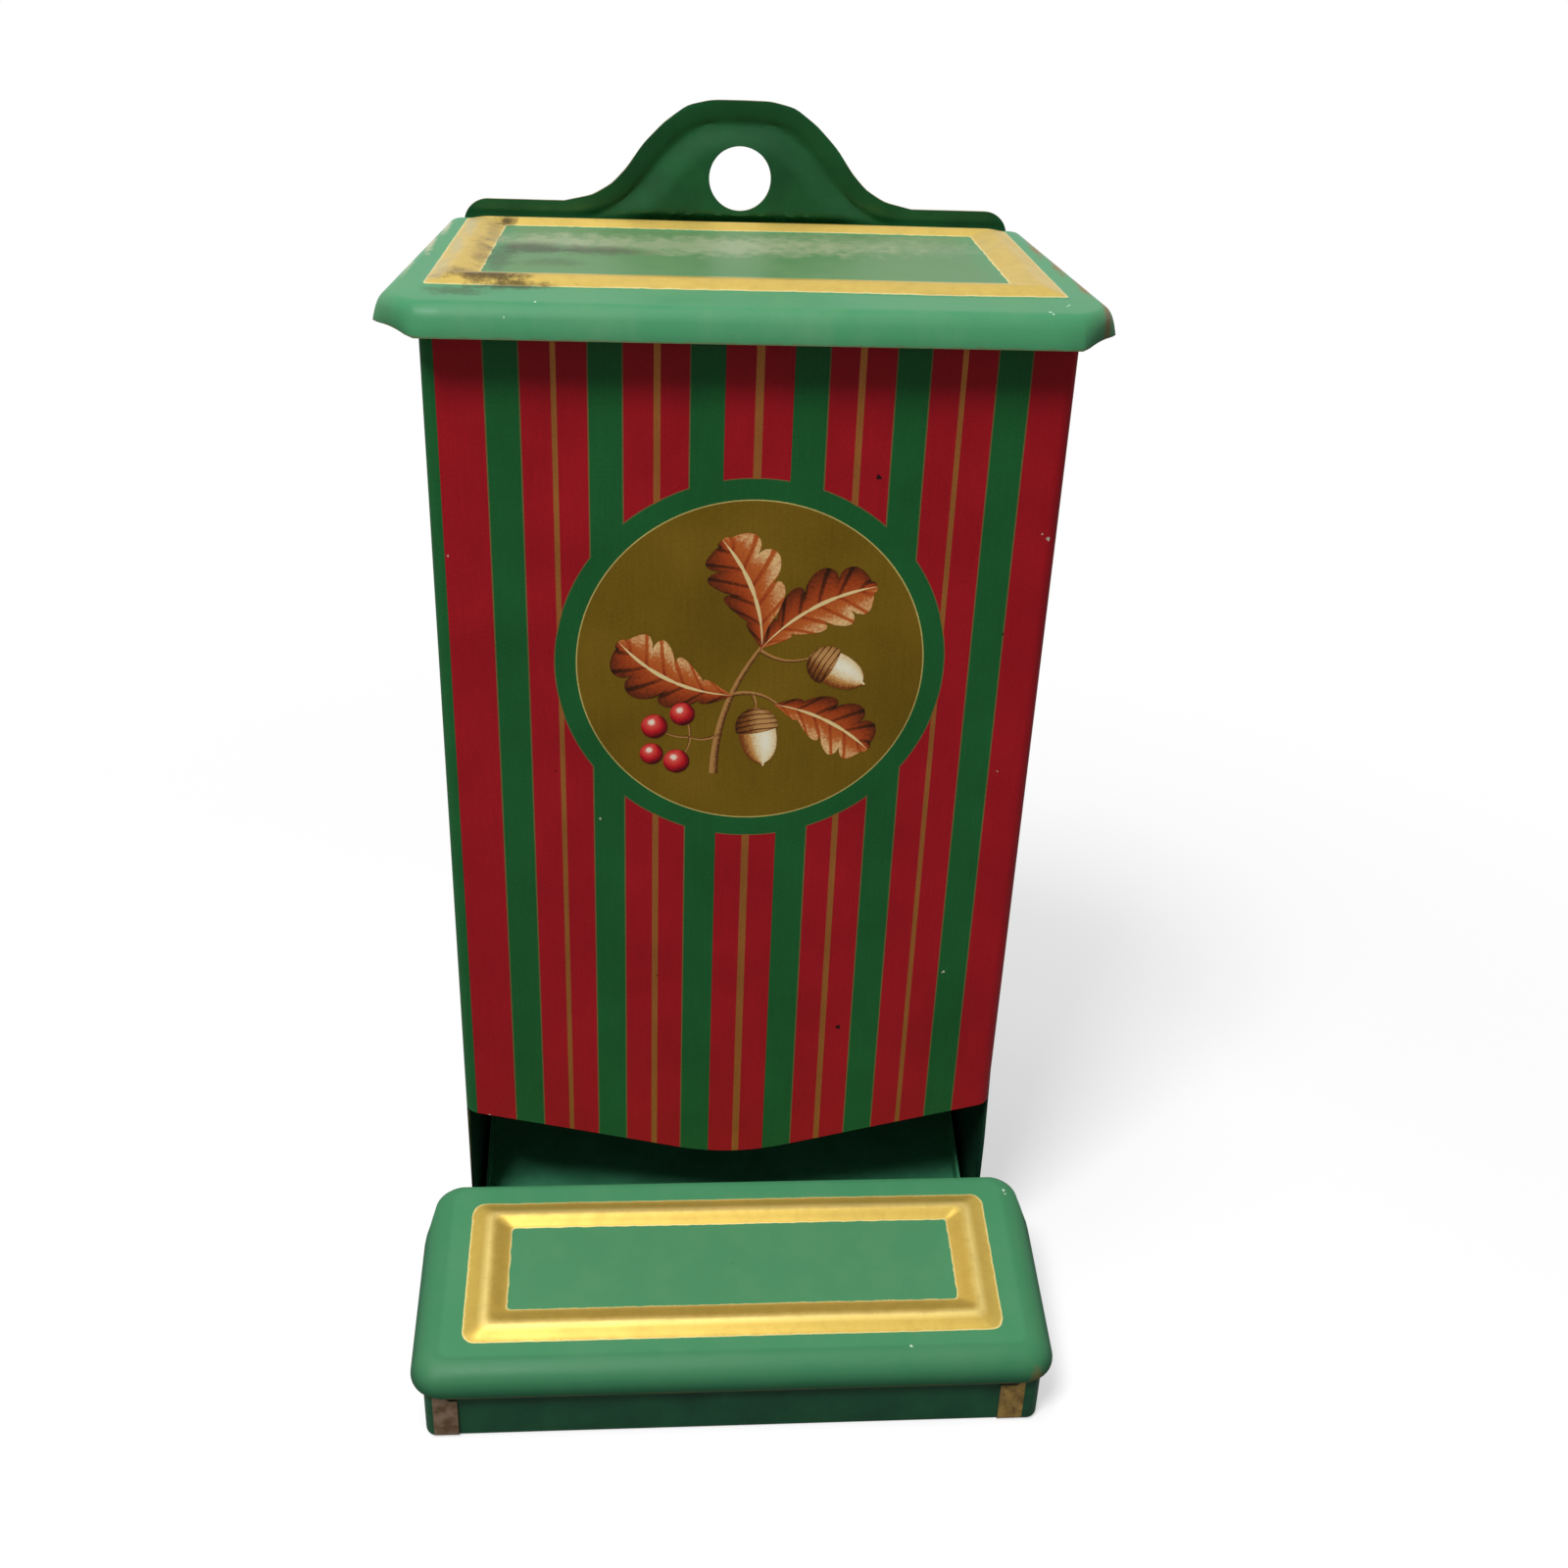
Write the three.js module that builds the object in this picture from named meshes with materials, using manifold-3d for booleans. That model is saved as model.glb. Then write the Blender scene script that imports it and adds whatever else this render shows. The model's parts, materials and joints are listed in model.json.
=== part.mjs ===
import * as THREE from 'three';
import { mergeVertices } from 'three/addons/utils/BufferGeometryUtils.js';
import Module from 'manifold-3d';

// A wall match holder of printed tinplate. Millimetres, +X right, +Y towards the wall, +Z up.
// While it is built, the front panel's face is the plane y = 0 and the tin stands on z = 0.
// The last lines move it along y, so that the origin is the middle of its footprint.

// Sheet and clearances.
const sheet = 0.5;
const clearance = 0.3;
const wireRadius = 0.7;
const wireHoleRadius = 0.85;

// Body: a wrapped sheet that is open at the top and below the front panel.
const bodyFrontHalf = 42.9;
const bodyBackHalf = 42.4;
const bodyFold = 1.6;
const backFlange = 6;
const panelCornerHeight = 34.2;
const panelTipHeight = 25;
const slotEdgeSetback = 1.6;

// Back plate with its hanging tab.
const backFace = 39.6;
const totalHeight = 184.2;
const shoulderHeight = 169.7;
const shoulderHalf = 40.2;
const shoulderRadius = 3.6;
const holeHeight = 173.5;
const holeRadius = 4.5;

// Tray below the slot.
const trayHalf = 47.3;
const trayFront = -35.7;
const trayRear = -1.7;
const trayFold = 1.1;
const cornerStrip = 6;
const cornerStripHeight = 8.4;
const rearFlangeHeight = 13.4;

// Ramp that brings the matches forward.
const rampBack = { y: 37.7, z: 17.2 };
const rampFront = { y: 0.4, z: 4.9 };
const rampToe = { y: -1.6, z: 1.1 };
const rampFlangeTop = 27;
const rampHalf = 41.3;
const rampSideHeight = 4.5;

// Both lids are pressed pans with a raised frame and a rear edge rolled round a wire.
// Their outlines are given in the lid's own plane, from the wire's axis.
const lidTop = 2.9;
const lidRear = 2.9;
const frameHeight = 0.8;
const topLid = {
  name: 'top_lid', slope: 5.5, wireY: 35.25, wireZ: 164.28, front: -40.0, rearHalf: 42.6, frontHalf: 49.9,
  rearCorner: 3.5, frontCorner: 8, skirt: 4.0, wireHalf: 42.6, reliefHalf: 41.5, flatFrom: -12,
  rim: { inset: 2.4, drop: 2.4 }, wallTop: 2.1,
  frameOuter: { rear: 0.4, front: -30.4, rearHalf: 39.5, frontHalf: 42.3 },
  frameInner: { rear: -3.4, front: -24.6, rearHalf: 33.4, frontHalf: 35.2 },
};
const lowerLid = {
  name: 'lower_lid', slope: 13, wireY: -3.9, wireZ: 17.19, front: -33.6, rearHalf: 49.4, frontHalf: 49.4,
  rearCorner: 5.5, frontCorner: 5, skirt: 3.6, wireHalf: 47.6, reliefHalf: 46.4, flatFrom: -6,
  rim: { inset: 4.0, drop: 3.0 }, wallTop: 1.6,
  frameOuter: { rear: -1.3, front: -26.5, rearHalf: 41.8, frontHalf: 41.8 },
  frameInner: { rear: -6.3, front: -20.7, rearHalf: 35, frontHalf: 35 },
};

const footprintMiddle = 1.4;

const colours = {
  darkGreen: { color: 0x1f5233, roughness: 0.42, metalness: 0.1 },
  red: { color: 0x9c1c2f, roughness: 0.42, metalness: 0.1 },
  green: { color: 0x3f9468, roughness: 0.38, metalness: 0.1 },
  goldLacquer: { color: 0xa8854a, roughness: 0.4, metalness: 0.6 },
  wire: { color: 0xb4b4ae, roughness: 0.35, metalness: 1 },
};

const wasm = await Module();
wasm.setup();

// A closed geometry as a solid that can be joined and cut.
function solid(geometry) {
  geometry.deleteAttribute('normal');
  geometry.deleteAttribute('uv');
  const merged = mergeVertices(geometry, 1e-4);
  return new wasm.Manifold(new wasm.Mesh({
    numProp: 3,
    vertProperties: new Float32Array(merged.attributes.position.array),
    triVerts: new Uint32Array(merged.index.array),
  }));
}

function mesh(name, body, colour) {
  const data = body.getMesh();
  const geometry = new THREE.BufferGeometry();
  geometry.setAttribute('position', new THREE.BufferAttribute(new Float32Array(data.vertProperties), 3));
  geometry.setIndex(new THREE.BufferAttribute(new Uint32Array(data.triVerts), 1));
  geometry.computeVertexNormals();
  const result = new THREE.Mesh(geometry, new THREE.MeshStandardMaterial(colour));
  result.name = name;
  return result;
}

const degrees = (angle) => angle * Math.PI / 180;
const onCircle = (radius, angle) => new THREE.Vector2(radius * Math.cos(angle), radius * Math.sin(angle));

// Corner points with each inner corner turned into an arc of its own radius.
function roundedPath(corners, closed) {
  const path = [];
  corners.forEach(([x, y, radius = 0], index) => {
    const corner = new THREE.Vector2(x, y);
    const last = corners.length - 1;
    if (radius === 0 || (!closed && (index === 0 || index === last))) {
      path.push(corner);
      return;
    }
    const [x0, y0] = corners[index === 0 ? last : index - 1];
    const [x1, y1] = corners[index === last ? 0 : index + 1];
    const before = new THREE.Vector2(x0, y0).sub(corner).normalize();
    const after = new THREE.Vector2(x1, y1).sub(corner).normalize();
    const half = Math.acos(before.dot(after)) / 2;
    const start = corner.clone().addScaledVector(before, radius / Math.tan(half));
    const end = corner.clone().addScaledVector(after, radius / Math.tan(half));
    const inward = before.clone().add(after).normalize();
    const centre = corner.clone().addScaledVector(inward, radius / Math.sin(half));
    const from = Math.atan2(start.y - centre.y, start.x - centre.x);
    let turn = Math.atan2(end.y - centre.y, end.x - centre.x) - from;
    turn -= 2 * Math.PI * Math.round(turn / (2 * Math.PI));
    const steps = Math.max(3, Math.ceil(Math.abs(turn) / degrees(15)));
    for (let step = 0; step <= steps; step += 1) {
      const angle = from + turn * step / steps;
      path.push(onCircle(radius, angle).add(centre));
    }
  });
  return path;
}

// The cross-section of a bent sheet, from the line along the middle of its thickness.
function bentSheet(path) {
  const sides = [[], []];
  path.forEach((point, index) => {
    const before = path[Math.max(index - 1, 0)];
    const after = path[Math.min(index + 1, path.length - 1)];
    const into = point.clone().sub(before).normalize();
    const out = after.clone().sub(point).normalize();
    if (index === 0) into.copy(out);
    if (index === path.length - 1) out.copy(into);
    const along = into.clone().add(out).normalize();
    const reach = sheet / 2 / along.dot(into);
    sides[0].push(new THREE.Vector2(point.x - along.y * reach, point.y + along.x * reach));
    sides[1].unshift(new THREE.Vector2(point.x + along.y * reach, point.y - along.x * reach));
  });
  return new THREE.Shape([...sides[0], ...sides[1]]);
}

// Ends of a cut on one side of the tin, in rising order, and a distance that is outside the tin.
const onSide = (side, inner, outer) => [side * inner, side * outer].sort((a, b) => a - b);
const beyond = 80;

// Outlines pulled out to a thickness: in plan along z, in front view along y, in side view along x.
const flat = { bevelEnabled: false, curveSegments: 16 };
function planSolid(shape, low, high) {
  return solid(new THREE.ExtrudeGeometry(shape, { ...flat, depth: high - low }).translate(0, 0, low));
}
function frontSolid(shape, near, far) {
  const upright = new THREE.ExtrudeGeometry(shape, { ...flat, depth: far - near }).rotateX(Math.PI / 2);
  return solid(upright.translate(0, far, 0));
}
function sideSolid(shape, left, right) {
  const turned = new THREE.ExtrudeGeometry(shape, { ...flat, depth: right - left });
  turned.applyMatrix4(new THREE.Matrix4().makeBasis(
    new THREE.Vector3(0, 1, 0), new THREE.Vector3(0, 0, 1), new THREE.Vector3(1, 0, 0),
  ));
  return solid(turned.translate(left, 0, 0));
}
function block([x0, x1], [y0, y1], [z0, z1]) {
  const box = new THREE.BoxGeometry(x1 - x0, y1 - y0, z1 - z0);
  return solid(box.translate((x0 + x1) / 2, (y0 + y1) / 2, (z0 + z1) / 2));
}
function wire(radius, half) {
  return solid(new THREE.CylinderGeometry(radius, radius, 2 * half, 16).rotateZ(Math.PI / 2));
}

// A point of a lid's own plane, as y and z of the tin.
function lidPoint(lid, y, z) {
  const slope = degrees(lid.slope);
  return new THREE.Vector2(
    lid.wireY + y * Math.cos(slope) - z * Math.sin(slope),
    lid.wireZ + y * Math.sin(slope) + z * Math.cos(slope),
  );
}

// Everything that a lid needs kept free above a wall, in side view. The wall's top edge runs close
// under the lid, ends in a quarter circle round the wire, and drops behind it for the rolled edge.
function clearanceOver(lid) {
  const earRadius = 1.6;
  const rollClearance = -2.9;
  const above = 25;
  const ahead = lid.front - 10;
  const behind = 20;
  const points = [
    [ahead, above], [ahead, lid.wallTop], [lid.flatFrom - 2, lid.wallTop], [lid.flatFrom, earRadius],
  ];
  for (let angle = 90; angle >= 0; angle -= 15) {
    points.push(onCircle(earRadius, degrees(angle)).toArray());
  }
  points.push([earRadius, rollClearance], [behind, rollClearance], [behind, above]);
  return new THREE.Shape(points.map(([y, z]) => lidPoint(lid, y, z)).reverse());
}

function wireHole(lid) {
  return wire(wireHoleRadius, beyond).translate([0, lid.wireY, lid.wireZ]);
}

// Front panel and both side walls in one wrapped sheet, with a flange on the back plate at each side.
function makeBody() {
  const middle = sheet / 2;
  const back = backFace - sheet - clearance - middle;
  const plan = [];
  const flangeFold = 1;
  for (const side of [-1, 1]) {
    const wrap = [
      [side * (bodyBackHalf - backFlange), back],
      [side * (bodyBackHalf - middle), back, flangeFold],
      [side * (bodyFrontHalf - middle), middle, bodyFold],
    ];
    plan.push(...(side === -1 ? wrap : wrap.reverse()));
  }
  const wrapped = planSolid(bentSheet(roundedPath(plan, false)), sheet + clearance, totalHeight);
  const wide = bodyFrontHalf + 1;
  const tipHalf = 9;
  const edgeSlope = (panelCornerHeight - panelTipHeight) / (bodyFrontHalf - tipHalf / 2);
  const tangentHeight = panelTipHeight + edgeSlope * tipHalf / 2;
  const cornerHeight = tangentHeight + edgeSlope * (wide - tipHalf);
  const below = new THREE.Shape();
  below.moveTo(-wide, 0);
  below.lineTo(wide, 0);
  below.lineTo(wide, cornerHeight);
  below.lineTo(tipHalf, tangentHeight);
  below.quadraticCurveTo(0, tangentHeight - edgeSlope * tipHalf, -tipHalf, tangentHeight);
  below.lineTo(-wide, cornerHeight);
  return wrapped
    .subtract(frontSolid(below, -1, slotEdgeSetback))
    .subtract(sideSolid(clearanceOver(topLid), -wide, wide))
    .subtract(wireHole(topLid));
}

// Back plate: as wide as the body below, with round shoulders and an arched tab above the lid.
function makeBackPlate() {
  const waistHeight = 158;
  const shoulderFoot = 162;
  const arcX = shoulderHalf - shoulderRadius;
  const arcZ = shoulderHeight - shoulderRadius;
  const arch = [
    [25.5, shoulderHeight], [21.4, 170.7], [18.6, 172.3], [16.4, 174.6], [14.2, 177.8],
    [11.1, 180.9], [7.8, 183.3], [4.2, totalHeight],
  ];
  const outline = new THREE.Shape();
  outline.moveTo(-bodyBackHalf, 0);
  outline.lineTo(bodyBackHalf, 0);
  outline.lineTo(bodyBackHalf, waistHeight);
  outline.lineTo(shoulderHalf, shoulderFoot);
  outline.lineTo(shoulderHalf, arcZ);
  outline.absarc(arcX, arcZ, shoulderRadius, 0, Math.PI / 2);
  outline.lineTo(...arch[0]);
  outline.splineThru(arch.slice(1).map(([x, z]) => new THREE.Vector2(x, z)));
  const mirrored = arch.map(([x, z]) => new THREE.Vector2(-x, z)).reverse();
  outline.lineTo(mirrored[0].x, mirrored[0].y);
  outline.splineThru(mirrored.slice(1));
  outline.absarc(-arcX, arcZ, shoulderRadius, Math.PI / 2, Math.PI);
  outline.lineTo(-shoulderHalf, shoulderFoot);
  outline.lineTo(-bodyBackHalf, waistHeight);
  const plate = frontSolid(outline, backFace - sheet, backFace);
  const pressed = pressedTab();
  const hole = new THREE.Shape().absarc(0, holeHeight, holeRadius, 0, 2 * Math.PI);
  const behind = block([-beyond, beyond], [backFace - sheet / 2, beyond], [0, totalHeight + 5]);
  return plate
    .add(pressed.subtract(behind))
    .subtract(pressed.translate([0, sheet, 0]))
    .subtract(frontSolid(hole, backFace - 5, backFace + 1));
}

// The middle of the tab is pressed forward: it rises over a slope that follows the arch, and its
// lower edge lies just above the lid's rear edge. The same solid, moved back by the sheet, hollows it.
function pressedTab() {
  const rise = 1.0;
  const slope = 3.2;
  const foot = 167.5;
  const depth = 1;
  const front = backFace - sheet;
  const arch = roundedPath([
    [-23.5, 160], [-19, 169.3, 6], [-9.8, 180.9, 9], [9.8, 180.9, 9], [19, 169.3, 6], [23.5, 160],
  ], false);
  const raised = new THREE.ExtrudeGeometry(new THREE.Shape(arch), {
    depth, bevelEnabled: true, bevelThickness: rise, bevelSize: slope, bevelOffset: -slope, bevelSegments: 4,
  });
  const [near, far, high] = [front - 2 * rise, front + 3, totalHeight + 5];
  const above = new THREE.Shape([
    [near, high], [near, foot + 2 * rise], [front, foot], [far, foot], [far, high],
  ].map(([y, z]) => new THREE.Vector2(y, z)));
  return solid(raised.rotateX(Math.PI / 2).translate(0, front + depth, 0))
    .intersect(sideSolid(above, -beyond, beyond));
}

// Floor of the tray and the body in one sheet, turned up in front as the tray's front wall.
function makeTrayFloor() {
  const middle = sheet / 2;
  const wall = trayFront + sheet + clearance + middle;
  const rear = backFace - sheet - clearance;
  const foldRadius = 1;
  const profile = roundedPath([[wall, rearFlangeHeight], [wall, middle, foldRadius], [rear, middle]], false);
  const half = trayHalf - sheet - 2 * clearance;
  const tongueHalf = bodyBackHalf - sheet - clearance;
  const wallRise = 1.2;
  const wallTop = lidPoint(lowerLid, lowerLid.front, wallRise).y;
  let floor = sideSolid(bentSheet(profile), -half, half);
  for (const side of [-1, 1]) {
    const beside = onSide(side, tongueHalf, beyond);
    floor = floor.subtract(block(beside, [trayRear - sheet - clearance, backFace], [-1, 1]));
  }
  return floor.subtract(block([-beyond, beyond], [trayFront, trayRear], [wallTop, beyond]));
}

// One side of the tray: a strip in front, the side wall, and a flange that closes the rear.
function makeTraySide(side) {
  const middle = sheet / 2;
  const wall = trayHalf - middle;
  const rearFold = 0.8;
  const plan = roundedPath([
    [side * (trayHalf - cornerStrip), trayFront + middle],
    [side * wall, trayFront + middle, trayFold],
    [side * wall, trayRear - middle, rearFold],
    [side * (bodyFrontHalf + clearance), trayRear - middle],
  ], false);
  const tall = 30;
  const stripDepth = 3;
  const flangeDepth = 2;
  const overStrip = onSide(side, 0, beyond);
  const overFlange = onSide(side, bodyFrontHalf, trayHalf - sheet);
  return planSolid(bentSheet(plan), 0, tall)
    .subtract(sideSolid(clearanceOver(lowerLid), -beyond, beyond))
    .subtract(block(overStrip, [trayFront - 1, trayFront + stripDepth], [cornerStripHeight, tall]))
    .subtract(block(overFlange, [trayRear - flangeDepth, trayRear + 1], [rearFlangeHeight, tall]))
    .subtract(wireHole(lowerLid));
}

// Ramp with a flange up the back plate and a low one along each side wall.
function makeRamp() {
  const bend = 2;
  const line = [
    [rampBack.y, rampFlangeTop], [rampBack.y, rampBack.z, bend],
    [rampFront.y, rampFront.z, bend], [rampToe.y, rampToe.z],
  ];
  let ramp = sideSolid(bentSheet(roundedPath(line, false)), -rampHalf, rampHalf);
  const flange = new THREE.Shape([
    new THREE.Vector2(rampFront.y + bend, rampFront.z + 0.6),
    new THREE.Vector2(rampBack.y - 1, rampBack.z - 0.4),
    new THREE.Vector2(rampBack.y - 1, rampBack.z + rampSideHeight),
    new THREE.Vector2(rampFront.y + bend, rampFront.z + rampSideHeight),
  ]);
  for (const edges of [[-rampHalf, sheet - rampHalf], [rampHalf - sheet, rampHalf]]) {
    ramp = ramp.add(sideSolid(flange, ...edges));
  }
  return ramp;
}

// A lid's outline in its own plane, with its rear and front corners round.
function lidOutline({ rear, front, rearHalf, frontHalf }, rearCorner, frontCorner) {
  return new THREE.Shape(roundedPath([
    [-rearHalf, rear, rearCorner], [-frontHalf, front, frontCorner],
    [frontHalf, front, frontCorner], [rearHalf, rear, rearCorner],
  ], true));
}

// A pan of the lid's outline, less a margin all round. Its rim is a quarter ellipse.
function pan(outline, rim, margin, bottom) {
  const depth = 20;
  const [inset, drop] = [rim.inset - margin, rim.drop - margin];
  const geometry = new THREE.ExtrudeGeometry(outline, {
    depth, bevelEnabled: true, bevelThickness: drop, bevelSize: inset,
    bevelOffset: -rim.inset, bevelSegments: 5,
  });
  const whole = solid(geometry.translate(0, 0, lidTop - rim.drop - depth));
  return whole.subtract(block([-beyond, beyond], [-beyond, beyond], [bottom - beyond, bottom]));
}

// The raised frame is a ridge between two outlines.
function frameRidge(lid) {
  const outerCorner = 2.2;
  const innerCorner = 0.8;
  const flank = 1.5;
  const base = 0.1;
  const ring = lidOutline(lid.frameOuter, outerCorner, outerCorner);
  const hole = lidOutline(lid.frameInner, innerCorner, innerCorner);
  ring.holes.push(new THREE.Path(hole.getPoints().reverse()));
  const geometry = new THREE.ExtrudeGeometry(ring, {
    depth: base, bevelEnabled: true, bevelThickness: frameHeight,
    bevelSize: flank, bevelOffset: -flank, bevelSegments: 3,
  });
  return solid(geometry.translate(0, 0, lidTop - base));
}

// The rear edge turns down and curls forward under and round the wire.
function rolledEdge(half) {
  const rollRadius = wireRadius + sheet;
  const rear = lidRear - sheet / 2;
  const turnDown = 0.6;
  const path = roundedPath([[rear, turnDown], [rear, -rollRadius, 1], [0, -rollRadius]], false);
  for (let angle = -105; angle >= -300; angle -= 15) {
    path.push(onCircle(rollRadius, degrees(angle)));
  }
  return sideSolid(bentSheet(path), -half, half);
}

function makeLid(lid) {
  const outline = lidOutline({ ...lid, rear: lidRear }, lid.rearCorner, lid.frontCorner);
  const bottom = lidTop - lid.skirt;
  const ridge = frameRidge(lid);
  let body = pan(outline, lid.rim, 0, bottom)
    .subtract(pan(outline, lid.rim, sheet, bottom - 1))
    .add(ridge)
    .subtract(ridge.translate([0, 0, -sheet]))
    .add(rolledEdge(lid.rearHalf - lid.rearCorner));
  // At the rear corners only the flat of the lid is left, so that it turns clear of the walls.
  const reliefFront = -2.4;
  const reliefTop = 1.9;
  for (const side of [-1, 1]) {
    const corner = onSide(side, lid.reliefHalf, beyond);
    body = body.subtract(block(corner, [reliefFront, beyond], [-beyond, reliefTop]));
  }
  return body;
}

// A lid and its wire, hung on the wire's axis and lying at the lid's slope.
function hang(lid, colour) {
  const group = new THREE.Group();
  group.add(mesh(lid.name, makeLid(lid), colour));
  group.add(mesh(`${lid.name}_wire`, wire(wireRadius, lid.wireHalf), colours.wire));
  group.position.set(0, lid.wireY, lid.wireZ);
  group.rotation.x = degrees(lid.slope);
  return group;
}

const matchHolder = new THREE.Group();
matchHolder.add(mesh('back_plate', makeBackPlate(), colours.darkGreen));
matchHolder.add(mesh('body_shell', makeBody(), colours.red));
matchHolder.add(mesh('chute_ramp', makeRamp(), colours.darkGreen));
matchHolder.add(mesh('tray_floor', makeTrayFloor(), colours.darkGreen));
matchHolder.add(mesh('tray_side_left', makeTraySide(-1), colours.goldLacquer));
matchHolder.add(mesh('tray_side_right', makeTraySide(1), colours.goldLacquer));
matchHolder.add(hang(topLid, colours.green));
matchHolder.add(hang(lowerLid, colours.green));
matchHolder.position.y = -footprintMiddle;

export default matchHolder;
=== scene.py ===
import json
import math
from functools import partial
import bmesh
import bpy
import numpy as np
from mathutils import Matrix, Vector


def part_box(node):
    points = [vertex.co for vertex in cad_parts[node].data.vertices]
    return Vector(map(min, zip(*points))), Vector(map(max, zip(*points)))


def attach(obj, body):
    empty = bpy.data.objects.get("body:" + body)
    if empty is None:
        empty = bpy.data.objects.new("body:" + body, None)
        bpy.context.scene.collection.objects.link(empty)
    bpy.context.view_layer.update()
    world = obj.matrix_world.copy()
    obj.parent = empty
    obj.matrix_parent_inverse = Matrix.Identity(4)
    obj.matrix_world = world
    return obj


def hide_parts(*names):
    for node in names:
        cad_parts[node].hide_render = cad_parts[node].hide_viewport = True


# A wall match holder of printed tinplate. Shapes are worked out in millimetres in the CAD frame:
# +X right, +Y towards the wall, +Z up, the origin under the middle of the tin. The plane of the
# front panel's face is y = panelFace.
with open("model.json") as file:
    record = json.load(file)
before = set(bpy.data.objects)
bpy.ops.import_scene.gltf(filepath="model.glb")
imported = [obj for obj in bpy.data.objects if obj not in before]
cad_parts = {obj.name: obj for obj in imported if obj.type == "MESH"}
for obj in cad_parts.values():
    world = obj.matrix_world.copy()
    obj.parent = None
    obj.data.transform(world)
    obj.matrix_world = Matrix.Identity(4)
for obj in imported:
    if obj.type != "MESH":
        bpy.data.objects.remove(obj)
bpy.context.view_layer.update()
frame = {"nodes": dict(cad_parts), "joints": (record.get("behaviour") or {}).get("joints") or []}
mm = 0.001
hinges = {joint["name"]: np.array(joint["pos_m"]) / mm for joint in frame["joints"]}
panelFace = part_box("body_shell")[0].y / mm
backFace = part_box("back_plate")[1].y / mm
sheet = 0.4  # the tinplate as it shows at its edges


# Colour and node helpers

def linearFromHex(code):
    # Each sRGB channel of a hex colour is turned to linear light
    channels = [int(code[start:start + 2], 16) / 255 for start in (1, 3, 5)]
    return [c / 12.92 if c <= 0.04045 else ((c + 0.055) / 1.055) ** 2.4 for c in channels] + [1.0]


def addNode(tree, kind, inputs=(), **settings):
    # A node with its settings. Inputs go by name or number, or as a list in the order of the sockets.
    # Each is a value, a hex colour, a socket, or a node, which stands for its first output in use.
    node = tree.nodes.new("ShaderNode" + kind)
    for key, value in settings.items():
        setattr(node, key, value)
    for socket, source in (inputs if isinstance(inputs, dict) else dict(enumerate(inputs))).items():
        if isinstance(source, bpy.types.Node):
            source = next(output for output in source.outputs if output.enabled)
        if isinstance(source, bpy.types.NodeSocket):
            tree.links.new(source, node.inputs[socket])
        else:
            node.inputs[socket].default_value = linearFromHex(source) if isinstance(source, str) else source
    return node


def startMaterial(name):
    # An empty material, and addNode for its tree
    material = bpy.data.materials.new(name)
    material.use_nodes = True
    material.node_tree.nodes.clear()
    return material, partial(addNode, material.node_tree)


def setStops(ramp, stops, between="LINEAR"):
    # Colour stops as (place from 0 to 1, hex colour, alpha)
    ramp.color_ramp.interpolation = between
    bands = ramp.color_ramp.elements
    for index, (place, code, alpha) in enumerate(stops):
        band = bands[index] if index < 2 else bands.new(place)
        band.position = place
        band.color = linearFromHex(code)[:3] + [alpha]


def addSpots(node, colour, place, noise, spots, code):
    # Small spots, as (u, v, size), whose edges fray with the noise
    for u, v, size in spots:
        away = node("VectorMath", (place, (u, v, 0)), operation="DISTANCE")
        frayed = node("Math", (noise, away), operation="SUBTRACT")
        hit = node("MapRange", (frayed, 0.44 - size, 0.54 - size))
        colour = node("Mix", {0: hit, 6: colour, 7: code}, data_type="RGBA")
    return colour


# Mesh helpers

def meshFromGrid(name, points, uv=None, layers=None, wrap=False, caps=False, keep=...):
    # Points is rows x columns x 3 in millimetres, and each cell of the grid that is kept becomes a
    # face. wrap joins the last column to the first, caps closes the first and last row with one face.
    rows, columns = points.shape[:2]
    index = np.arange(rows * columns).reshape(rows, columns)
    if wrap:
        index = np.concatenate([index, index[:, :1]], 1)
    cells = np.stack([index[:-1, :-1], index[:-1, 1:], index[1:, 1:], index[1:, :-1]], -1)
    faces = cells[keep].reshape(-1, 4).tolist()
    if caps:
        faces += [list(range(columns))[::-1], list(range((rows - 1) * columns, rows * columns))]
    mesh = bpy.data.meshes.new(name)
    mesh.from_pydata((points.reshape(-1, 3) * mm).tolist(), [], faces)
    corners = np.zeros(len(mesh.loops), np.int32)
    mesh.loops.foreach_get("vertex_index", corners)
    if uv is not None:
        mesh.uv_layers.new(name="sheetMap").data.foreach_set("uv", uv.reshape(-1, 2)[corners].ravel())
    for layer, values in (layers or {}).items():
        attribute = mesh.attributes.new(layer, "FLOAT", "POINT")
        attribute.data.foreach_set("value", np.broadcast_to(values, (rows, columns)).ravel())
    mesh.shade_smooth()
    return mesh


def joinMeshes(name, meshes):
    # Several meshes as one, with the points they share merged
    build = bmesh.new()
    for mesh in meshes:
        build.from_mesh(mesh)
    bmesh.ops.remove_doubles(build, verts=build.verts, dist=0.002 * mm)
    joined = bpy.data.meshes.new(name)
    build.to_mesh(joined)
    build.free()
    joined.shade_smooth()
    return joined


def addPiece(name, mesh, body, materials, nodes=(), thickness=0, sharp=35):
    # The mesh as a finished piece: given its thickness, its sharp edges marked, and its place told
    piece = bpy.data.objects.new(name, mesh)
    bpy.context.scene.collection.objects.link(piece)
    for material in materials:
        mesh.materials.append(material)
    if thickness:
        shell = piece.modifiers.new("thickness", "SOLIDIFY")
        shell.thickness = thickness * mm
        shell.offset = -1
        shell.material_offset = 1 if len(materials) > 1 else 0
        shell.material_offset_rim = 2 if len(materials) > 2 else 0
        made = piece.evaluated_get(bpy.context.evaluated_depsgraph_get())
        piece.modifiers.clear()
        piece.data = bpy.data.meshes.new_from_object(made)
    piece.data.set_sharp_from_angle(angle=math.radians(sharp))
    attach(piece, body)
    if nodes:
        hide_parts(*nodes)


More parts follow.
